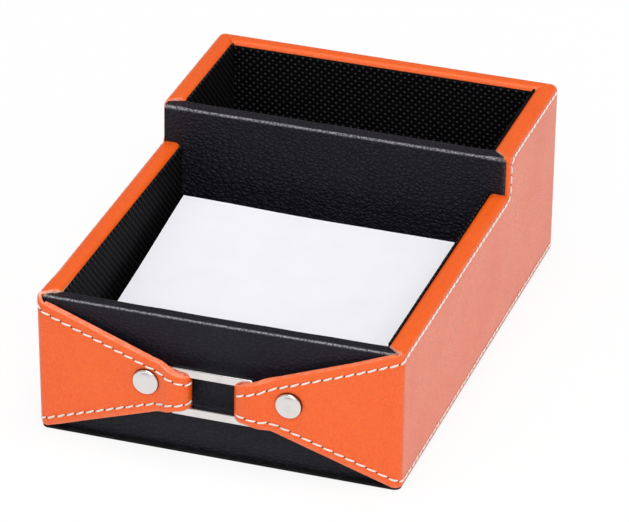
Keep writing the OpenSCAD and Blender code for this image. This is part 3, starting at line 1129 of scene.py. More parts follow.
@dataclass
class Stitching:
    """Thread of the seams: slanted stitches that dip into their needle holes."""

    pitch: float = 3.45
    gap: float = 0.35
    radius: float = 0.32
    slant: float = 0.15
    sunk: float = 0.12
    hole: float = 0.28
    bulge: float = 0.22
    flatness: float = 0.85
    thinnest: float = 0.04
    mouth_share: tuple[float, ...] = (0.5, 1.0, 1.0)
    mouth_lift: tuple[float, float] = (0.02, -0.04)
    hole_depth: float = 0.3
    sides: int = 8
    rings: int = 9

    def sew(self, seams: Sequence[Seam]) -> MeshDraft:
        """Makes the stitches of some seams.

        Args:
            seams: The seams.

        Returns:
            The mesh of the thread and its holes.
        """
        draft = MeshDraft()
        for seam in seams:
            knots = seam.places(self.pitch)
            for first, last in zip(knots[:-1], knots[1:]):
                self._stitch(draft, seam, first, last)
                self._needle_hole(draft, seam, first)
        return draft

    def _stitch(self, draft: MeshDraft, seam: Seam, first: Array, last: Array) -> None:
        """Adds one stitch between two needle holes.

        Args:
            draft: The mesh that takes the thread.
            seam: The seam.
            first: Way and height of the hole where the stitch starts.
            last: Way and height of the hole where it ends.
        """
        along = (last - first) / max(np.linalg.norm(last - first), 1e-6)
        across = np.array([-along[1], along[0]])
        trim = along * self.gap / 2
        share = np.linspace(0.0, 1.0, self.rings)
        line = first + trim + (last - first - 2 * trim) * share[:, None]
        line = line + across * self.slant * (0.5 - share[:, None]) * 2
        bow = np.sin(np.pi * share)
        thick = self.radius * np.sqrt(np.clip(1 - np.abs(2 * share - 1) ** 3, self.thinnest, 1.0))
        centre = self.bulge * bow ** 0.6 - self.sunk
        angle = round_turn(self.sides)
        offset = np.cos(angle)[None, :] * thick[:, None]
        lift = centre[:, None] + np.sin(angle)[None, :] * thick[:, None] * self.flatness
        flat = line[:, None, :] + across * offset[:, :, None]
        draft.add_tube(seam.lifted(flat[..., 0], flat[..., 1], lift))

    def _needle_hole(self, draft: MeshDraft, seam: Seam, place: Array) -> None:
        """Adds the shadowed mouth of a needle hole.

        Args:
            draft: The mesh that takes the hole.
            seam: The seam.
            place: Way and height of the hole.
        """
        angle = round_turn(self.sides)
        sizes = np.array(self.mouth_share) * self.hole
        lift = np.array([*self.mouth_lift, -self.sunk - self.hole_depth])
        along, across = np.cos(angle)[None, :] * sizes[:, None], np.sin(angle)[None, :] * sizes[:, None]
        way = place[0] + along * 0.8 - across * 0.5
        height = place[1] + across * 1.3
        draft.add_tube(seam.lifted(way, height, np.broadcast_to(lift[:, None], way.shape)), finish=1)


def arc(centre: tuple[float, float], radius: float, start: float, end: float,
        count: int) -> tuple[Array, Array]:
    """Points of an arc in plan and the directions from its centre.

    Args:
        centre: The arc's centre.
        radius: Its radius.
        start: Angle of its start in degrees.
        end: Angle of its end in degrees.
        count: Number of points.

    Returns:
        The points and the directions.
    """
    angle = np.radians(np.linspace(start, end, count))
    out = np.stack([np.cos(angle), np.sin(angle)], 1)
    return np.array(centre) + radius * out, out


@dataclass
class OrangeLeather:
    """What the orange leathers share: rows, seams' furrows and edges."""

    tray: TraySizes
    palette: Palette
    rim_seam: float = 2.0
    foot_seam: float = 1.7
    furrow: float = 0.17
    furrow_w: float = 0.55
    pucker: float = 0.35
    pitch: float = Stitching.pitch
    edge_steps: Triple = (0.0, 0.12, 0.36)
    edge_share: Triple = (0.42, 0.8, 1.0)
    seam_steps: tuple[float, ...] = (-0.9, -0.5, -0.25, 0.0, 0.25, 0.5, 0.9)
    face_rows: int = 15
    step_rows: int = 9
    rim_rows: int = 18
    foot_rub: Triple = (0.28, 0.2, 0.08)
    # Paleness of the three rows at a cut upper edge: the raw cut edge's own colour at the mitres, and a
    # painted highlight along the flaps' edges.
    cut_pale_and_highlight: Triple = (0.0, 0.15, 0.65)
    # Paleness of the cut edge of the flaps, straps, loops and back corners; on the flaps and straps it paints
    # the highlight along the edge's thickness.
    edge_pale: float = 0.3
    bend_columns: int = 6
    corner_columns: int = 7
    tip_gap: float = 0.06
    seam_start: float = 1.6

    def rows(self, keys: Array, step_z: float | None = None) -> tuple[Array, Array, int]:
        """Lays rows of points up a leather.

        Args:
            keys: Heights of the lower edge, the seams and the upper edge by column.
            step_z: Height where a lower neighbour's upper seam joins, if there is one.

        Returns:
            The lengths by column and row, the share of the thickness by row, and the row of that joint.
        """
        low, foot, seam, high = (keys[:, k] for k in range(4))
        last = self.seam_steps[-1]
        found = [low + step for step in self.edge_steps]
        found += [foot + step for step in self.seam_steps]
        joint = seam if step_z is None else np.full_like(seam, step_z)
        found += between(foot + last, joint - last, self.face_rows)
        found += [joint + step for step in self.seam_steps if step <= 0]
        at = len(found) - 1
        if step_z is not None:
            found += between(joint, seam - last, self.step_rows)
            found += [seam + step for step in self.seam_steps if step <= 0]
        found += [seam + step for step in self.seam_steps if 0 < step < last]
        found += between(seam + self.seam_steps[-2], high - self.edge_steps[-1], self.rim_rows)
        found += [high - step for step in reversed(self.edge_steps)]
        share = np.ones(len(found))
        share[:3] = self.edge_share
        share[-3:] = self.edge_share[::-1]
        return np.stack(found, 1), share, at

    def end_share(self, count: int) -> Array:
        """Share of the thickness at each of a number of columns, pared at the last ones."""
        return np.concatenate([np.ones(count - len(self.edge_share)), self.edge_share[::-1]])

    def tip(self, section: RimSection) -> Array:
        """Lengths at which the rim ends in the columns of a rear corner."""
        return section.reach(np.full(self.corner_columns, self.tray.corner_r - self.tip_gap))

    def relief(self, seams: Sequence[Seam], way: Array, v: Array) -> Array:
        """Depth of the furrows that the stitches pull into the leather.

        Args:
            seams: The seams.
            way: Way along the route by column and row.
            v: Height by column and row.

        Returns:
            The depth at each point.
        """
        total = np.zeros_like(v)
        for seam in seams:
            gap = seam.near(way, v)
            beat = 1 - self.pucker + self.pucker * np.cos(2 * np.pi * way / self.pitch)
            total = total + self.furrow * beat * np.exp(-(gap / self.furrow_w) ** 2)
        return total

    def shell(self, draft: MeshDraft, strip: Strip, section: RimSection, way: Array, seams: Sequence[Seam],
              step_z: float | None = None, press: Callable[[Array, Array, Array], Array] | None = None,
              end_share: Array | None = None, inset: float = 0.0, weld: tuple[bool, bool] = (False, False),
              short: int = 0) -> None:
        """Adds a leather to a mesh.

        Args:
            draft: The mesh.
            strip: Columns of the leather.
            section: Section of its rim.
            way: Way along the route at each column.
            seams: Seams that furrow it.
            step_z: Height where the lower neighbour's upper seam joins.
            press: Depth of further dents at points of the face.
            end_share: Share of the thickness at each column.
            inset: Depth of the layer behind the face.
            weld: Whether the first and the last column join another leather up to the joint's row.
            short: Columns at the end that the leather has only up to the joint's row.
        """
        v, row_share, at = self.rows(strip.keys, step_z)
        share = np.minimum(row_share[None, :], 1.0 if end_share is None else end_share[:, None])
        share = np.broadcast_to(share, v.shape)
        ways = np.broadcast_to(way[:, None], v.shape)
        dent = self.relief(seams, ways, v)
        straight = strip.straight[:, None]
        turned = section.layers(v, share)
        upright = (section.trim(share), v, section.thick, v)
        layers = (a * (1 - straight) + b * straight for a, b in zip(turned, upright))
        outer_d, outer_z, inner_d, inner_z = layers
        plan = strip.points[:, None, :]
        out = strip.outward[:, None, :]
        if press is not None:
            dent = dent + press(plan[..., 0] + 0 * v, plan[..., 1] + 0 * v, outer_z)
        outer = np.concatenate([plan - out * (outer_d + dent + inset)[..., None], outer_z[..., None]], -1)
        inner = np.concatenate([plan - out * (inner_d + inset)[..., None], inner_z[..., None]], -1)
        # Pale rows: a worn pale foot, and the cut upper edge, whose paleness on the flaps is a painted
        # highlight.
        rub_and_highlight = np.zeros_like(v)
        rub_and_highlight[:, :3] = np.array(self.foot_rub) * (0.3 + 0.7 * straight)
        rub_and_highlight[:, -3:] = np.array(self.cut_pale_and_highlight) * strip.cut[:, None]
        kept = np.ones((v.shape[0] - 1, v.shape[1] - 1), bool)
        kept[v.shape[0] - 1 - short:, at:] = False
        draft.add_shell(outer, inner, rub_and_highlight, kept, at if weld[0] else 0, at if weld[1] else 0)


@dataclass
class SideLeather(OrangeLeather):
    """Leather of one side with its front flap, strap, loop and tail, its second layer and its seams."""

    strap: StrapSizes = field(kw_only=True)
    side: Side = Side.RIGHT
    flap_seam: float = 2.85
    loop_seam: float = 2.1
    loop_top: float = 2.45
    loop_sewn: float = 2.9
    step_round: float = 0.8
    step_seam: float = 2.1
    seam_turn: float = 2.0
    seam_land: float = 0.95
    corner_bow: float = 0.0
    step_back: float = 0.0
    corner_lean: float = 0.0
    corner_rise: float = 0.0
    foot_tuck: float = 0.3
    foot_run: float = 3.0
    slant: float = 0.2
    foot_end: float = 4.0
    settle_run: float = 14.0
    lean_reach: float = 16.0
    step_run: float = 2.5
    step_lead: float = 1.2
    mitre_pale: float = 0.8
    mitre_columns: int = 8
    tail_columns: int = 16
    turn_points: int = 8
    tall_columns: int = 54
    low_columns: int = 118
    front_columns: int = 13
    flap_columns: int = 60
    loop_columns: int = 22
    step_columns: tuple[float, ...] = (0.8, 0.45, 0.2, 0.06, 0.0)

    def __post_init__(self) -> None:
        """Lays the columns and the seams of the right side, which the left one mirrors."""
        t = self.tray
        self.stitches = Stitching(slant=self.slant)
        self.cut = FLAP_CUTS[self.side]
        self.low_section = RimSection(t.low_rim, t.rim_w, t.leather)
        self.tall_section = RimSection(t.tall_rim, t.rim_w, t.leather)
        self.low_seam_z = t.low_rim - self.rim_seam
        self.tall_seam_z = t.tall_rim - self.rim_seam
        self.tall = self._tall_strip()
        self.flap = self._flap_strip()
        self.low = Strip.join([self._low_strip(), self._corner_strip(), self.flap])
        self.route = Strip.join([self.tall, self.low])
        self.start = self.tall.lengths[-1]
        self.seams = [self._upper_seam(), self._lower_seam()]

    def _side_columns(self, y: Array) -> tuple[Array, Array]:
        """Points of the side's face and their outward directions."""
        return np.stack([np.full_like(y, self.tray.half_w), y], 1), np.tile((1.0, 0.0), (len(y), 1))

    def _tall_strip(self) -> Strip:
        """Columns of the pen compartment's side, from the back corner to the step.

        Returns:
            The strip.
        """
        t = self.tray
        points, out = arc((t.corner_x, t.corner_y), t.corner_r, 45, 0, self.corner_columns)
        keys = (t.foot, t.foot + self.foot_seam, self.tall_seam_z)
        corner = Strip.run(points, out, (*keys, self.tip(self.tall_section)), 0.0, 0.1)
        y = np.concatenate([np.linspace(t.corner_y, t.back_in, self.bend_columns),
                            np.linspace(t.back_in, t.divider_in, self.tall_columns)[1:],
                            np.linspace(t.divider_in, t.divider_y + self.step_lead, self.bend_columns)[1:],
                            t.divider_y + np.array(self.step_columns)])
        back_cut = t.rim_w - np.maximum(y - t.back_in + t.lap_in, 0.0)
        step_cut = t.half_w - t.divider_mitre(y, self.side)
        high = self.tall_section.reach(np.minimum(back_cut, step_cut))
        high = np.maximum(high, self.tall_seam_z + self.seam_land)
        pale = np.where(y < t.divider_in, self.mitre_pale, 0.0)
        side = Strip.run(*self._side_columns(y), (*keys, high), 0.0, pale)
        return Strip.join([corner, side])

    def _low_strip(self) -> Strip:
        """Columns of the tray's side, from the step to the front corner.

        Returns:
            The strip.
        """
        t = self.tray
        y = np.concatenate([np.linspace(t.divider_y, t.front_in, self.low_columns),
                            np.linspace(t.front_in, -t.corner_y, self.mitre_columns)[1:]])
        high = self.low_section.reach(t.half_w - t.front_mitre(y, self.corner_bow))
        cut = np.where(y < t.front_in - 0.1, 1.0, 0.0)
        keys = (t.foot, t.foot + self.foot_seam, self.low_seam_z, high)
        return Strip.run(*self._side_columns(y), keys, 0.0, cut)

    def _corner_strip(self) -> Strip:
        """Columns of the front corner, where the rim turns into the flap's straight edge.

        Returns:
            The strip.
        """
        t = self.tray
        count = self.front_columns
        points, out = arc((t.corner_x, -t.corner_y), t.corner_r, 0, -90, count)
        share = eased(np.linspace(0.0, 1.0, count))
        rim = self.low_section.reach(t.half_w - t.front_mitre(-t.corner_y, self.corner_bow))
        top = self.cut.top[0]
        high = blend(rim, top, share)
        foot = t.foot + self.foot_seam + (self.flap_seam - self.foot_seam) * share
        seam = blend(self.low_seam_z, top - self.flap_seam, share)
        bent = eased(np.linspace(0.0, 1.6, count))
        return Strip.run(points, out, (t.foot, foot, seam, high), bent, 1.0 - 0.7 * share)

    def _flap_strip(self) -> Strip:
        """Columns of the flap, its strap, the loop round the ring and the tail behind.

        Returns:
            The strip.
        """
        t, s = self.tray, self.strap
        x = np.linspace(t.corner_x, s.loop_x, self.flap_columns)
        y = s.flap_y(x, t.corner_x)
        slope = np.gradient(y, x)
        out = np.stack([slope, -np.ones_like(x)], 1) / np.hypot(slope, 1.0)[:, None]
        top = s.edge(x, t.corner_x, self.cut.top)
        low = s.edge(x, t.corner_x, (t.foot, *self.cut.low))
        grown = eased((x - s.loop_x) / s.strap_h)
        over = blend(self.loop_seam, self.flap_seam, grown)
        under = blend(self.loop_top, self.flap_seam, grown)
        front = Strip.run(np.stack([x, y], 1), out, (low, low + over, top - under, top), 1.0,
                          self.edge_pale)
        draw = eased(np.linspace(0.0, 2.4, self.loop_columns))
        half = s.strap_h / 2
        high = blend(self.cut.top[-1], s.strap_z + half, draw)
        foot = blend(self.cut.low[-1], s.strap_z - half, draw)
        bends = (foot, foot + self.loop_seam, high - self.loop_top, high)
        round_bar = arc((s.loop_x, s.loop_y), s.loop_out_r, 270, 90, self.loop_columns)
        loop = Strip.run(*round_bar, bends, 1.0, self.edge_pale)
        keys = tuple(float(part[-1]) for part in bends)
        x = np.concatenate([np.linspace(s.loop_x, s.tail_x - 0.4, self.tail_columns),
                            s.tail_x - np.array([0.12, 0.0])])
        y = np.full_like(x, s.loop_y + s.loop_out_r)
        tail = Strip.run(np.stack([x, y], 1), np.tile((0.0, 1.0), (len(x), 1)), keys, 1.0,
                         self.edge_pale)
        return Strip.join([front, loop, tail])

    def _upper_seam(self) -> Seam:
        """Seam along the rims, down the step, round the corner and along the strap's upper edge.

        Returns:
            The seam.
        """
        y = self.tray.divider_y + self.step_seam
        upright = np.interp(-y, -self.tall.points[:, 1], self.tall.lengths)
        turn, count = self.seam_turn, self.turn_points
        upper, _ = arc((upright - turn, self.tall_seam_z - turn), turn, 90, 0, count)
        lower, _ = arc((upright + turn, self.low_seam_z + turn), turn, 180, 270, count)
        start = np.array([[self.seam_start, self.tall_seam_z]])
        ways = self.low.lengths + self.start
        shown = (ways > upright + turn) & (ways < self._loop_end())
        low = np.stack([ways, self.low.keys[:, 2]], 1)[shown]
        return Seam(self.route, np.concatenate([start, upper, lower, low]))

    def _lower_seam(self) -> Seam:
        """Seam along the foot, round the corner and along the strap's lower edge.

        Returns:
            The seam.
        """
        shown = self.low.lengths + self.start < self._loop_end()
        low = np.stack([self.low.lengths + self.start, self.low.keys[:, 1]], 1)[shown]
        return Seam(self.route, np.concatenate([[[self.seam_start, self.tall.keys[0, 1]]], low]))

    def _loop_end(self) -> float:
        """Way along the route where the seams end, just past the start of the loop."""
        past = self.strap.tail_x - self.strap.loop_x + math.pi * self.strap.loop_out_r - self.loop_sewn
        return float(self.low.lengths[-1] + self.start - past)

    def _step_press(self, x: Array, y: Array, z: Array) -> Array:
        """Rounding of the upright edge at the step, and the foot's draw.

        Args:
            x: Places across the tray; not used.
            y: Places from front to back.
            z: Heights.

        Returns:
            Depth of both.
        """
        radius = self.step_round * eased((z - self.low_seam_z) / self.step_run)
        gap = np.clip(y - self.tray.divider_y - self.step_back, 0.0, None)
        inside = np.clip(radius - gap, 0.0, None)
        return radius - np.sqrt(np.maximum(radius ** 2 - inside ** 2, 0.0)) + self._foot_press(z)

    def _foot_press(self, z: Array) -> Array:
        """How far the leather draws in at the foot."""
        return self.foot_tuck * np.clip(1.0 - (z - self.tray.foot) / self.foot_run, 0.0, 1.0) ** 2

    def _rivet_press(self, x: Array, y: Array, z: Array) -> Array:
        """Dish that the rivet's cap presses into the strap, and the foot's draw at the side.

        Args:
            x: Places across the tray.
            y: Places from front to back.
            z: Heights.

        Returns:
            Depth of both.
        """
        s = self.strap
        gap = np.hypot(x - s.rivet_x, z - s.rivet_z)
        front = y < s.loop_y
        return s.dish(gap) * front + self._foot_press(z) * (x > self.tray.corner_x - self.foot_end)

    def _settled(self, draft: MeshDraft, name: str, materials: Sequence[Material]) -> Piece:
        """Makes an object whose front corner leans and rises as the worked leather does.

        Args:
            draft: A mesh of this side.
            name: Name of the piece.
            materials: Its finishes.

        Returns:
            The object.
        """
        t = self.tray
        for points in draft.points:
            x, y, z = points.T
            near = eased((x - t.corner_x + self.settle_run) / self.settle_run)
            height = z / t.low_rim
            ahead = eased((self.lean_reach - y - t.corner_y) / self.settle_run)
            lean = self.corner_lean * near * ahead * (2.0 * height - 1.0)
            way = np.clip((t.divider_y - y) / (t.divider_y - t.front_y), 0.0, 1.0)
            points += np.stack([lean, np.zeros_like(lean), self.corner_rise * near * way * height], 1)
        return draft.make(name, materials, self.side is Side.LEFT)

    def build(self) -> list[Piece]:
        """Makes the leather, its second layer and its stitches.

        Returns:
            The pieces.
        """
        word = self.side.word
        orange = [self.palette.orange]
        draft = MeshDraft()
        self.shell(draft, self.tall, self.tall_section, self.tall.lengths, self.seams, step_z=self.low_seam_z,
                   press=self._step_press, weld=(False, True),
                   short=len(self.step_columns) if self.step_back else 0)
        self.shell(draft, self.low, self.low_section, self.low.lengths + self.start, self.seams,
                   press=self._rivet_press, end_share=self.end_share(len(self.low.points)),
                   weld=(True, False))
        wrap = self._settled(draft, f"{word}_side_leather", orange)
        backing = MeshDraft()
        ways = self.flap.lengths + self.low.lengths[-1] - self.flap.lengths[-1] + self.start
        self.shell(backing, self.flap, self.low_section, ways, [],
                   end_share=self.end_share(len(self.flap.points)), inset=self.tray.leather)
        layer = self._settled(backing, f"{word}_strap_layer", orange)
        sewing = self._settled(self.stitches.sew(self.seams), f"{word}_side_stitches", self.palette.sewing)
        return [dress(wrap, [f"{word}_wrap"]),
                dress(layer, [f"{word}_strap_backing"]), dress(sewing)]


@dataclass
class BackLeather(OrangeLeather):
    """Leather of the back with its seams."""

    stitches: Stitching = field(default_factory=Stitching)
    half_columns: int = 60

    def build(self) -> list[Piece]:
        """Makes the leather and its stitches.

        Returns:
            The pieces.
        """
        t = self.tray
        section = RimSection(t.tall_rim, t.rim_w, t.leather)
        seam_z = t.tall_rim - self.rim_seam
        keys = (t.foot, t.foot + self.foot_seam, seam_z)
        tip = (*keys, self.tip(section))
        count = self.corner_columns
        right = Strip.run(*arc((t.corner_x, t.corner_y), t.corner_r, 45, 90, count), tip, 0.0,
                          self.edge_pale)
        left = Strip.run(*arc((-t.corner_x, t.corner_y), t.corner_r, 90, 135, count), tip, 0.0,
                         self.edge_pale)
        half = np.concatenate([np.linspace(t.corner_x, t.side_in, self.bend_columns),
                               np.linspace(t.side_in, 0.0, self.half_columns)[1:]])
        x = np.concatenate([half, -half[-2::-1]])
        high = section.reach(t.rim_w - np.maximum(np.abs(x) - t.rim_in, 0.0))
        face = np.stack([x, np.full_like(x, t.back_y)], 1)
        middle = Strip.run(face, np.tile((0.0, 1.0), (len(x), 1)), (*keys, high), 0.0, 0.0)
        strip = Strip.join([right, middle, left])
        ways = strip.lengths
        inset = self.seam_start
        seams = [Seam(strip, np.array([[inset, z], [ways[-1] - inset, z]])) for z in keys[1:]]
        draft = MeshDraft()
        self.shell(draft, strip, section, ways, seams)
        wrap = draft.make("back_leather", [self.palette.orange])
        sewing = self.stitches.sew(seams).make("back_stitches", self.palette.sewing)
        return [dress(wrap, ["back_wrap"]), dress(sewing)]


@dataclass
class BlackCover:
    """Black leather folded over a wall, from its front foot over the top to its back foot."""

    tray: TraySizes
    palette: Palette
    fold_r: float = 0.95
    swell: float = 0.10
    # Strength of the painted highlight along the fold of the top front edge.
    fold_highlight: float = 0.9
    tuck: float = 1.3
    end_r: float = 1.3
    # Strength of the painted highlight down the rounded right end of the ear.
    end_highlight: float = 0.13
    proud: float = 0.3
    front_lean: float = 0.45
    front_narrow: float = 2.2
    fade_run: float = 6.0
    swell_run: float = 2.5
    # Share of that painted highlight which the back fold gets.
    back_fold_highlight: float = 0.35
    wave_x: float = 0.31
    wave_z: float = 0.43
    wave_skew: float = 0.07
    wave_start: float = 0.7
    ear_lap: float = 0.9
    ear_back: float = 0.4
    left_end: float = 1.05
    right_end: float = 0.15
    columns: int = 84
    front_rows: int = 22
    back_rows: int = 14
    top_rows: int = 10
    # Share of the painted highlight on each row round a fold.
    ridge: tuple[float, ...] = (0.0, 0.15, 0.5, 0.9, 1.0, 0.7, 0.3, 0.0)
    tips: tuple[float, ...] = (0.15, 0.4, 0.62, 0.78, 0.88, 0.95, 0.985, 1.0)

    def section(self, front: float, back: float, top: float, front_foot: float,
                back_foot: float, narrow: float = 1.0) -> tuple[Array, Array, Array]:
        """Outer line of the folded leather.

        Args:
            front: Y of the front face.
            back: Y of the back face.
            top: Height of the fold.
            front_foot: Height of the front edge.
            back_foot: Height of the back edge.
            narrow: How narrow the painted highlight on the fold is.

        Returns:
            The points in Y and Z, the outward directions, and the strength of the painted highlight at each.
        """
        r = self.fold_r
        rise = np.linspace(1.0, top - r - front_foot, self.front_rows)
        fall = np.linspace(top - r - back_foot, 1.0, self.back_rows)
        rise = np.concatenate([[0.0, 0.3], rise]) + front_foot
        fall = np.concatenate([fall, [0.3, 0.0]]) + back_foot
        first, first_out = arc((front + r, top - r), r, 180, 90, len(self.ridge))
        last, last_out = arc((back - r, top - r), r, 90, 0, len(self.ridge))
        level = np.linspace(front + r, back - r, self.top_rows)[1:-1]
        points = np.concatenate([np.stack([np.full_like(rise, front), rise], 1)[:-1], first,
                                 np.stack([level, np.full_like(level, top)], 1), last,
                                 np.stack([np.full_like(fall, back), fall], 1)[1:]])
        out = np.concatenate([np.tile((-1.0, 0.0), (len(rise) - 1, 1)), first_out,
                              np.tile((0.0, 1.0), (len(level), 1)), last_out,
                              np.tile((1.0, 0.0), (len(fall) - 1, 1))])
        ridge = np.array(self.ridge) ** narrow * self.fold_highlight
        rub_and_highlight = np.concatenate([np.zeros(len(rise) - 1), ridge, np.zeros(len(level)),
                              ridge[::-1] * self.back_fold_highlight, np.zeros(len(fall) - 1)])
        return points, out, rub_and_highlight

    def sheet(self, line: Array, out: Array, x: Array, rub_and_highlight: Array, kept: Array | None = None,
              sunk: Array | float = 0.0, lean: float = 0.0) -> MeshDraft:
        """Draws the folded line across the tray.

        Args:
            line: Points of the line in Y and Z.
            out: Outward directions.
            x: X of each point by column and row.
            rub_and_highlight: Strength of the painted highlight at each row or point.
            kept: Cells that the leather has.
            sunk: How far the outer face is drawn in at each point.
            lean: How much higher the fold's right end is than its middle.

        Returns:
            The mesh.
        """
        climb = line[:, 1] - line[:, 1].min()
        upright = np.sin(line[None, :, 1] * self.wave_z + x * self.wave_skew)
        wave = np.sin(x * self.wave_x + self.wave_start) * upright * self.swell
        fade = eased(climb / self.fade_run)[None, :]
        sink = sunk + (wave * 0.5 + self.swell * 0.5) * fade
        body = self.tray.black + 0.0 * sink
        rise = lean * np.maximum(x / self.tray.half_w, 0.0) * climb / np.ptp(line[:, 1])
        outer = np.stack([x, line[:, 0] - out[:, 0] * sink, line[:, 1] - out[:, 1] * sink + rise], -1)
        inner = np.stack([x, line[:, 0] - out[:, 0] * body, line[:, 1] - out[:, 1] * body + rise], -1)
        draft = MeshDraft()
        draft.add_shell(outer, inner, np.broadcast_to(rub_and_highlight, x.shape), kept)
        return draft

    def front(self) -> Piece:
        """Makes the cover of the front wall.

        Returns:
            The piece.
        """
        t = self.tray
        line, out, rub_and_highlight = self.section(t.wall_y, t.tray_y0, t.front_top, t.foot, t.base_top,
                                      self.front_narrow)
        ends = np.minimum(t.front_mitre(line[:, 0]) + self.tuck, t.board_out + self.proud)
        half = np.concatenate([np.linspace(0.0, 0.9, self.columns // 2), np.linspace(0.9, 1.0, 8)[1:]])
        x = both_ways(half)[:, None] * ends[None, :]
        draft = self.sheet(line, out, x, rub_and_highlight, None, self._swollen(x, t.side_in + 1.0), self.front_lean)
        cover = draft.make("front_black_leather", [self.palette.tight_black])
        return dress(cover, ["front_cover"])

    def divider(self) -> Piece:
        """Makes the cover of the divider, with ears over the ends of the tall side walls.

        Returns:
            The piece.
        """
        t = self.tray
        line, out, rub_and_highlight = self.section(t.divider_y, t.pen_y0, t.divider_top, t.base_top, t.base_top)
        half = np.concatenate([np.linspace(0.0, 1.0, self.columns // 2), 1.0 + np.array(self.tips)])
        column = both_ways(half)
        inner = np.minimum(np.abs(column), 1.0)[:, None]
        ear = np.clip(np.abs(column) - 1.0, 0.0, None)[:, None]
        ends = {side: self._ear_end(line[:, 0], side) for side in Side}
        end = np.where(column[:, None] < 0.0, ends[Side.LEFT], ends[Side.RIGHT])
        x = np.sign(column)[:, None] * (inner * t.side_in + ear * (end - t.side_in))
        middle = (np.abs(column[:-1] + column[1:]) / 2 < 1.0)[:, None]
        step = t.low_rim - t.leather
        eared = (line[:-1, 1] >= step - self.ear_lap) & (line[1:, 0] < t.divider_in + self.ear_back)
        inside = np.clip(self.end_r - (end - np.abs(x)), 0.0, self.end_r) * (column > 1.0)[:, None]
        round_off = self.end_r - np.sqrt(self.end_r ** 2 - inside ** 2)
        front = np.clip(-out[:, 0], 0.0, 1.0)[None, :]
        sunk = np.minimum(round_off, self.proud) * front + self._swollen(x, t.side_in - self.swell_run)
        # A narrow painted highlight down the rounded right end of the ear's front face.
        facing = line[:, 0] < t.divider_y + 0.5
        turned = eased((x - ends[Side.RIGHT] + self.end_r) / 0.5) * facing * self.end_highlight
        draft = self.sheet(line, out, x, np.maximum(rub_and_highlight, turned), middle | eared[None, :], sunk)
        return dress(draft.make("divider_black_leather", [self.palette.black]), ["divider_cover"])

    def _swollen(self, x: Array, first: float) -> Array:
        """Depth below the plain face where the leather thickens towards its ends, so less than nothing."""
        return -self.proud * eased((np.abs(x) - first) / self.swell_run)

    def _ear_end(self, y: Array, side: Side) -> Array:
        """How far the divider's leather reaches to a side at each place, tucked under the orange leather.

        Args:
            y: Places from front to back.
            side: The side.

        Returns:
            The reach from the tray's middle.
        """
        t = self.tray
        limit = t.half_w - self.left_end if side is Side.LEFT else t.board_out + self.right_end
        cut = np.maximum(t.divider_mitre(y, side), t.divider_mitre(y - 1.0, side))
        return np.minimum(cut + self.tuck, limit)

    def build(self) -> list[Piece]:
        """Makes both covers."""
        return [self.front(), self.divider()]


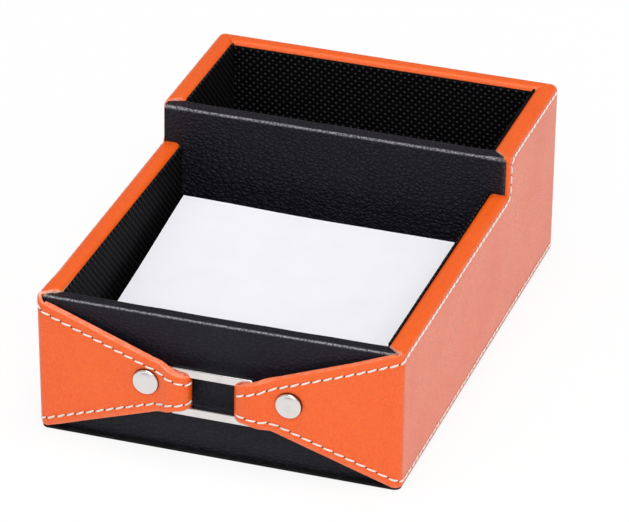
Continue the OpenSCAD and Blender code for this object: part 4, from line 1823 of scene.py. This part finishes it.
@dataclass
class ClothLinings:
    """Black cloth on the inner walls and floors."""

    palette: Palette
    step: float = 1.25
    pillow: float = 0.08
    wave_u: float = 0.23
    wave_w: float = 0.29
    tray_drop: Mapping[Side, float] = per_side(0.7, -0.2)
    pen_drop: Mapping[Side, float] = per_side(0.3, -0.1)
    back_drop: float = 0.9
    edge_steps: tuple[float, ...] = (0.0, 0.1, 0.3, 0.6)
    edge_share: tuple[float, ...] = (0.35, 0.75, 0.95, 1.0)

    def _grades(self, length: float) -> tuple[Array, Array]:
        """Places along a side of a cloth and the share of its thickness there.

        Args:
            length: Length of the side.

        Returns:
            The places and the shares.
        """
        edge = np.array(self.edge_steps)
        inner = np.linspace(edge[-1], length - edge[-1], max(3, int(length / self.step)))
        share = np.array(self.edge_share)
        return (np.concatenate([edge[:-1], inner, length - edge[-2::-1]]),
                np.concatenate([share[:-1], np.ones(len(inner)), share[-2::-1]]))

    def sheet(self, name: str, node: str, corner: Array, first: Array, second: Array, out: Sequence[float],
              thick: float, material: Material) -> Piece:
        """Makes a flat cloth with soft edges.

        Args:
            name: Name of the piece.
            node: The node that it stands for.
            corner: A corner of its outer face.
            first: Side of the cloth from that corner.
            second: Other side from that corner.
            out: Direction that its outer face looks to.
            thick: Its thickness.
            material: Its finish.

        Returns:
            The piece.
        """
        wide, deep = float(np.linalg.norm(first)), float(np.linalg.norm(second))
        u, u_share = self._grades(wide)
        w, w_share = self._grades(deep)
        share = np.minimum(u_share[:, None], w_share[None, :])
        sag = self.pillow * (1 + np.sin(u[:, None] * self.wave_u) * np.cos(w[None, :] * self.wave_w)) / 2
        plane = corner + u[:, None, None] * first / wide + w[None, :, None] * second / deep
        sunk = (thick * (1 - share) + sag * (share == 1))[..., None]
        draft = MeshDraft()
        draft.add_shell(plane - sunk * np.array(out), plane - thick * np.ones_like(sunk) * np.array(out))
        return dress(draft.make(name, [material]), [node])

    def build(self) -> list[Piece]:
        """Makes the wall and floor linings.

        Returns:
            The pieces.
        """
        cloth, flat = self.palette.upright_cloth, self.palette.flat_cloth
        made = []
        for side in Side:
            for room, drop in (("tray", self.tray_drop), ("pen", self.pen_drop)):
                node = f"{room}_{side.word}_lining"
                low, high = box_mm(node)
                high[2] -= drop[side]
                thick, deep, tall = np.diag(high - low)
                corner = np.array([high[0] if side is Side.LEFT else low[0], low[1], low[2]])
                made.append(self.sheet(f"{node}_cloth", node, corner, deep, tall, (-float(side), 0.0, 0.0),
                                       thick[0], cloth))
        low, high = box_mm("pen_back_lining")
        high[2] -= self.back_drop
        wide, thick, tall = np.diag(high - low)
        made.append(self.sheet("pen_back_lining_cloth", "pen_back_lining", low, wide, tall, (0.0, -1.0, 0.0),
                               thick[1], cloth))
        low, high = box_mm("pen_floor_lining")
        wide, deep, thick = np.diag(high - low)
        made.append(self.sheet("pen_floor_cloth", "pen_floor_lining", low + thick, wide, deep,
                               (0.0, 0.0, 1.0), thick[2], flat))
        made.append(self._tray_floor(flat))
        return made

    def _tray_floor(self, flat: Material) -> Piece:
        """Makes the cloth of the tray's sloping floor.

        Args:
            flat: The finish.

        Returns:
            The piece.
        """
        low, high = box_mm("tray_floor_lining")
        thick = high[2] - box_mm("tray_floor_board")[1][2]
        run, rise = high[1] - low[1], high[2] - low[2] - thick
        slope = np.array([0.0, run, rise])
        up = np.array([0.0, -rise, run]) / math.hypot(run, rise)
        corner = np.array([low[0], low[1], low[2] + thick])
        wide = np.diag(high - low)[0]
        return self.sheet("tray_floor_cloth", "tray_floor_lining", corner, wide, slope, up,
                          thick * up[2], flat)


@dataclass
class BaseSheet:
    """Thin felt under the base, with rounded corners and soft edges."""

    palette: Palette
    corner_r: float = 2.1
    shift: float = 0.25
    soft: float = 0.25
    face: float = 0.9
    bevel: tuple[float, float] = (0.07, 0.08)
    corner_points: int = 9

    def build(self) -> list[Piece]:
        """Makes the felt.

        Returns:
            The piece in a list.
        """
        high = box_mm("base_sheet")[1]
        rings = []
        top = high[2]
        nick, up = self.bevel
        for inset, z in ((self.face, 0.0), (self.soft, 0.0), (nick, up), (0.0, self.soft),
                         (0.0, top - self.soft), (nick, top - up), (self.soft, top), (self.face, top)):
            loop = rounded_loop(high[0] - self.shift - inset, high[1] - inset, self.corner_r,
                                self.corner_points) + np.array((self.shift, 0.0))
            rings.append(np.concatenate([loop, np.full((len(loop), 1), z)], 1))
        draft = MeshDraft()
        draft.add_tube(np.stack(rings))
        return [dress(draft.make("base_felt_sheet", [self.palette.felt]), ["base_sheet"])]


def rounded_loop(half_a: float, half_b: float, radius: float, count: int) -> Array:
    """Points of a rectangle with rounded corners, about its middle.

    Args:
        half_a: Half of its first side.
        half_b: Half of its second side.
        radius: Radius of its corners.
        count: Points of each corner.

    Returns:
        The points in order.
    """
    corners = ((1, 1, 0), (-1, 1, 90), (-1, -1, 180), (1, -1, 270))
    a_in, b_in = half_a - radius, half_b - radius
    return np.concatenate([arc((a * a_in, b * b_in), radius, turn, turn + 90, count)[0]
                           for a, b, turn in corners])


@dataclass
class Hardware:
    """Metal ring and the rivets that hold the straps on it."""

    strap: StrapSizes
    palette: Palette
    tray: TraySizes
    ring_corner: float = 1.0
    open_corner: float = 0.35
    edge_r: float = 0.32
    cap_edge: float = 0.5
    # Width and depths of a thin dark ring of painted shadow where each cap meets the strap.
    shadow_ring: float = 0.13
    shadow_ring_sunk: tuple[float, ...] = (-0.08, -0.05, 0.4, 0.4)
    dome: float = 0.6
    dome_seat: float = 0.92
    seat_share: tuple[float, float] = (0.8, 0.25)
    cap_sides: int = 56
    corner_points: int = 8

    def ring(self) -> Piece:
        """Makes the flat rectangular ring.

        Returns:
            The piece.
        """
        s = self.strap
        outer = rounded_loop(s.ring_end_x, s.ring_half_h, self.ring_corner, self.corner_points)
        inner = rounded_loop(s.ring_end_x - s.ring_bar, s.ring_half_h - s.ring_bar, self.open_corner,
                             self.corner_points)
        angle = np.radians(np.linspace(180, 90, 5))
        half, r = s.ring_t / 2, self.edge_r
        round_in = r + r * np.cos(angle)
        round_up = half - r + r * np.sin(angle)
        way = np.concatenate([round_in, s.ring_bar - round_in[::-1]])
        height = np.concatenate([round_up, round_up[::-1]])
        way, height = np.concatenate([way, way[::-1]]), np.concatenate([height, -height[::-1]])
        flat = outer[:, None, :] + (inner - outer)[:, None, :] * (way / s.ring_bar)[None, :, None]
        depth = np.broadcast_to(s.loop_y - height, flat.shape[:2])
        points = np.stack([flat[..., 0] + s.ring_shift, depth, flat[..., 1] + s.strap_z - s.ring_sag], -1)
        draft = MeshDraft()
        draft.add_tube(points, closed=True)
        return dress(draft.make("strap_ring", [self.palette.plating]), ["buckle_ring"])

    def caps(self) -> Piece:
        """Makes the two rivet caps with domed faces and rolled edges, and a thin dark ring of painted shadow
        round each.

        Returns:
            The piece.
        """
        s = self.strap
        radius = s.cap_d / 2
        front = box_mm("rivet_caps")[0][1]
        share = np.linspace(0.02, 1.0, 12)
        dome_r = (radius - self.cap_edge) * share
        dome_h = self.dome * (1 - share ** 2) + self.cap_edge * self.dome_seat
        angle = np.radians(np.linspace(72, -75, 9))
        edge_r = radius - self.cap_edge + self.cap_edge * np.cos(angle)
        edge_h = self.cap_edge * np.sin(angle)
        seat = [(radius * part, -self.cap_edge) for part in self.seat_share]
        line = np.concatenate([np.stack([dome_r, dome_h], 1), np.stack([edge_r, edge_h], 1), np.array(seat)])
        line[:, 1] -= line[:, 1].max()
        turn = round_turn(self.cap_sides)
        draft = MeshDraft()
        for side in Side:
            own = s.at_side(side)
            x = side * own.rivet_x + line[:, :1] * np.cos(turn)[None, :]
            z = own.rivet_z + line[:, :1] * np.sin(turn)[None, :]
            y = np.broadcast_to(front - line[:, 1:], x.shape)
            draft.add_tube(np.stack([x, y, z], -1))
            # A thin dark ring of painted shadow round the cap's foot on the strap.
            reach = np.array([-self.cap_edge, self.shadow_ring, self.shadow_ring, -self.cap_edge])[:, None] + radius
            sunk = np.array(self.shadow_ring_sunk)[:, None] + own.dish(reach)
            x = own.rivet_x + reach * np.cos(turn)[None, :]
            z = own.rivet_z + reach * np.sin(turn)[None, :]
            y = own.flap_y(x, self.tray.corner_x) + sunk
            draft.add_tube(np.stack([side * x, y, z], -1), finish=1, closed=True)
        finishes = [self.palette.plating, self.palette.hole_shade]
        return dress(draft.make("rivet_cap_faces", finishes), ["rivet_caps"])

    def build(self) -> list[Piece]:
        """Makes the ring and the caps."""
        return [self.ring(), self.caps()]


@dataclass
class MemoStack:
    """Loose memo sheets, cut a little unevenly, the top one with a lifted corner."""

    palette: Palette
    tilt: float = 6.0
    size: float = 90.0
    leaves: int = 64
    stray: float = 0.22
    turn: float = 0.25
    curl: float = 1.5
    curl_share: float = 0.6
    curl_run: float = 46.0
    leaf_share: float = 0.78
    clear: float = 0.03
    margin: float = 1.4
    cells: int = 36
    seed: int = 7

    def build(self) -> list[Piece]:
        """Makes the stack.

        Returns:
            The piece in a list.
        """
        low, high = box_mm("memo_sheets")
        tilt = math.radians(self.tilt)
        along = np.array([0.0, math.cos(tilt), math.sin(tilt)])
        up = np.array([0.0, -math.sin(tilt), math.cos(tilt)])
        height = (high[2] - low[2] - self.size * math.sin(tilt)) / math.cos(tilt)
        corner = np.array([0.0, low[1] + height * math.sin(tilt), low[2]])
        middle = corner + along * self.size / 2
        leaf_t = height / self.leaves
        draw = np.random.default_rng(self.seed)
        draft = MeshDraft()
        for leaf in range(self.leaves):
            last = leaf == self.leaves - 1
            count = self.cells if last else 3
            half = self.size / 2 - self.stray * self.margin
            shift = draw.uniform(-self.stray, self.stray, 2)
            spin = math.radians(draw.uniform(-self.turn, self.turn))
            line = np.linspace(-half, half, count)
            a, b = np.meshgrid(line, line, indexing="ij")
            rise = np.zeros_like(a)
            if last:
                corner_gap = (half + a) + (half - b)
                rise = self.curl * eased(1 - corner_gap / self.curl_run) * self.curl_share
            x = a * math.cos(spin) - b * math.sin(spin) + shift[0]
            y = a * math.sin(spin) + b * math.cos(spin) + shift[1]
            base = middle + x[..., None] * np.array([1.0, 0.0, 0.0]) + y[..., None] * along
            low_z = leaf * leaf_t + self.clear + rise
            top = leaf_t * self.leaf_share
            draft.add_shell(base + (low_z + top)[..., None] * up, base + low_z[..., None] * up)
        piece = draft.make("memo_sheet_stack", [self.palette.paper])
        return [dress(piece, ["memo_sheets"], Body.SHEETS)]


@dataclass
class HiddenBoards:
    """Boards and rivet backs that stay as the construction has them."""

    palette: Palette
    boards: tuple[str, ...] = ("base_board", "left_side_board", "right_side_board", "front_board",
                               "back_board", "divider_board", "tray_floor_board", "floor_riser")

    def dress(self) -> None:
        """Gives each node its finish."""
        for node in (*self.boards, "rivet_backs"):
            material = self.palette.plating if node == "rivet_backs" else self.palette.board
            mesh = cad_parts[node].data
            mesh.materials.clear()
            mesh.materials.append(material)
            log.info("%s: node of the construction in %s", node, material.name)


@dataclass(frozen=True)
class Lamp:
    """A square soft lamp: its name, its place and side in metres, and its power in watts."""

    name: str
    place: Triple
    size: float
    power: float


@dataclass
class Studio:
    """Floor, soft light and camera."""

    floor_half: float = 9.0
    floor_level: float = -0.0001
    floor_tones: tuple[Colour, Colour] = ((0.86, 0.86, 0.86, 1.0), (0.89, 0.89, 0.89, 1.0))
    tone_size: float = 900.0
    azimuth: float = 17.843
    elevation: float = 27.95
    roll: float = 0.958
    aim: Triple = (-0.00009, 0.00906, 0.02052)
    distance: float = 1.4478
    lens: float = 270.9
    sensor: float = 36.0
    floor_glow: float = 0.86
    sky_front: float = 0.6
    sky_back: float = 0.2
    lamps: tuple[Lamp, ...] = (
        Lamp("key_lamp", (0.6, -1.75, 1.6), 1.3, 22.6), Lamp("top_lamp", (0.1, 0.1, 2.2), 1.2, 26.0),
        Lamp("side_lamp", (2.0, -0.4, 0.55), 1.0, 3.2))

    def floor(self) -> None:
        """Makes the white floor, which keeps a faint shadow."""
        graph = ShaderGraph.of_material("Studio_Floor")
        path = graph.add("ShaderNodeLightPath", output="Is Camera Ray")
        seen = graph.math("MAXIMUM", graph.math("MAXIMUM", path, path.peer("Is Glossy Ray")),
                          path.peer("Is Transmission Ray"))
        tone = graph.mix(graph.noise(graph.place(), self.tone_size), *self.floor_tones)
        matt = graph.add("ShaderNodeBsdfDiffuse", {}, {"Color": tone})
        glow = graph.add("ShaderNodeEmission", {}, {"Color": WHITE, "Strength": 1.0})
        both = graph.add("ShaderNodeMixShader", {}, {0: seen * self.floor_glow, 1: matt, 2: glow})
        graph.add("ShaderNodeOutputMaterial", {}, {"Surface": both})
        half = self.floor_half
        mesh = bpy.data.meshes.new("studio_floor")
        corners = [(a * half, b * half, self.floor_level) for a, b in ((-1, -1), (1, -1), (1, 1), (-1, 1))]
        mesh.from_pydata(corners, [], [(0, 1, 2, 3)])
        mesh.materials.append(graph.owner)
        floor = bpy.data.objects.new("studio_floor", mesh)
        bpy.context.scene.collection.objects.link(floor)

    def sky(self) -> None:
        """Makes the soft surroundings: white to the eye, brighter in front of the tray than behind it."""
        world = bpy.data.worlds.new("studio_sky")
        bpy.context.scene.world = world
        graph = ShaderGraph(world)
        coords = graph.add("ShaderNodeTexCoord", output="Generated")
        apart = graph.add("ShaderNodeSeparateXYZ", {}, {0: coords}, "Y")
        behind = graph.fade(apart, -0.5, 0.6)
        shade = [(level,) * 3 + (1.0,) for level in (self.sky_front, self.sky_back)]
        path = graph.add("ShaderNodeLightPath", output="Is Camera Ray")
        seen = graph.mix(path, graph.mix(behind, *shade), WHITE)
        light = graph.add("ShaderNodeBackground", {}, {"Color": seen, "Strength": 1.0})
        graph.add("ShaderNodeOutputWorld", {}, {"Surface": light})

    def light(self) -> None:
        """Hangs the lamps so that each looks at the tray."""
        for lamp in self.lamps:
            data = bpy.data.lights.new(lamp.name, "AREA")
            data.size = lamp.size
            data.energy = lamp.power
            hung = bpy.data.objects.new(lamp.name, data)
            hung.location = lamp.place
            hung.rotation_euler = (-Vector(lamp.place)).to_track_quat("-Z", "Y").to_euler()
            bpy.context.scene.collection.objects.link(hung)

    def camera(self) -> None:
        """Sets the camera at the photograph's viewing angle."""
        side, up, roll = (math.radians(angle) for angle in (self.azimuth, self.elevation, self.roll))
        back = Vector((math.sin(side) * math.cos(up), -math.cos(side) * math.cos(up), math.sin(up)))
        level = Vector((math.cos(side), math.sin(side), 0.0))
        right = level * math.cos(roll) + back.cross(level) * math.sin(roll)
        data = bpy.data.cameras.new("studio_camera")
        data.sensor_width = self.sensor
        data.lens = self.lens
        camera = bpy.data.objects.new("studio_camera", data)
        turn = Matrix((right, back.cross(right), back)).transposed()
        camera.matrix_world = Matrix.Translation(Vector(self.aim) + back * self.distance) @ turn.to_4x4()
        bpy.context.scene.collection.objects.link(camera)
        bpy.context.scene.camera = camera

    def build(self) -> None:
        """Sets up the whole studio."""
        bpy.context.scene.view_settings.view_transform = "Standard"
        self.floor()
        self.sky()
        self.light()
        self.camera()
        log.info("studio ready")


SIDE_HABITS: dict[Side, dict[str, float]] = {
    Side.LEFT: {"corner_bow": 0.5, "step_round": 1.8, "step_back": 1.0, "step_seam": 4.0, "corner_lean": 0.45,
                "slant": -0.22, "loop_sewn": 5.8},
    Side.RIGHT: {"corner_rise": 0.4, "foot_tuck": 0.0, "loop_top": 3.1},
}


def main() -> None:
    """Builds the tray piece by piece."""
    logging.basicConfig(level=logging.INFO, format="%(name)s: %(message)s")
    tray = TraySizes.from_frame()
    strap = StrapSizes.from_frame()
    palette = Palette()
    HiddenBoards(palette).dress()
    BaseSheet(palette).build()
    for side in Side:
        made = SIDE_HABITS[side]
        SideLeather(tray, palette, strap=strap.at_side(side), side=side, **made).build()
    BackLeather(tray, palette).build()
    BlackCover(tray, palette).build()
    ClothLinings(palette).build()
    Hardware(strap, palette, tray).build()
    MemoStack(palette).build()
    Studio().build()


if __name__ == "__main__":
    main()
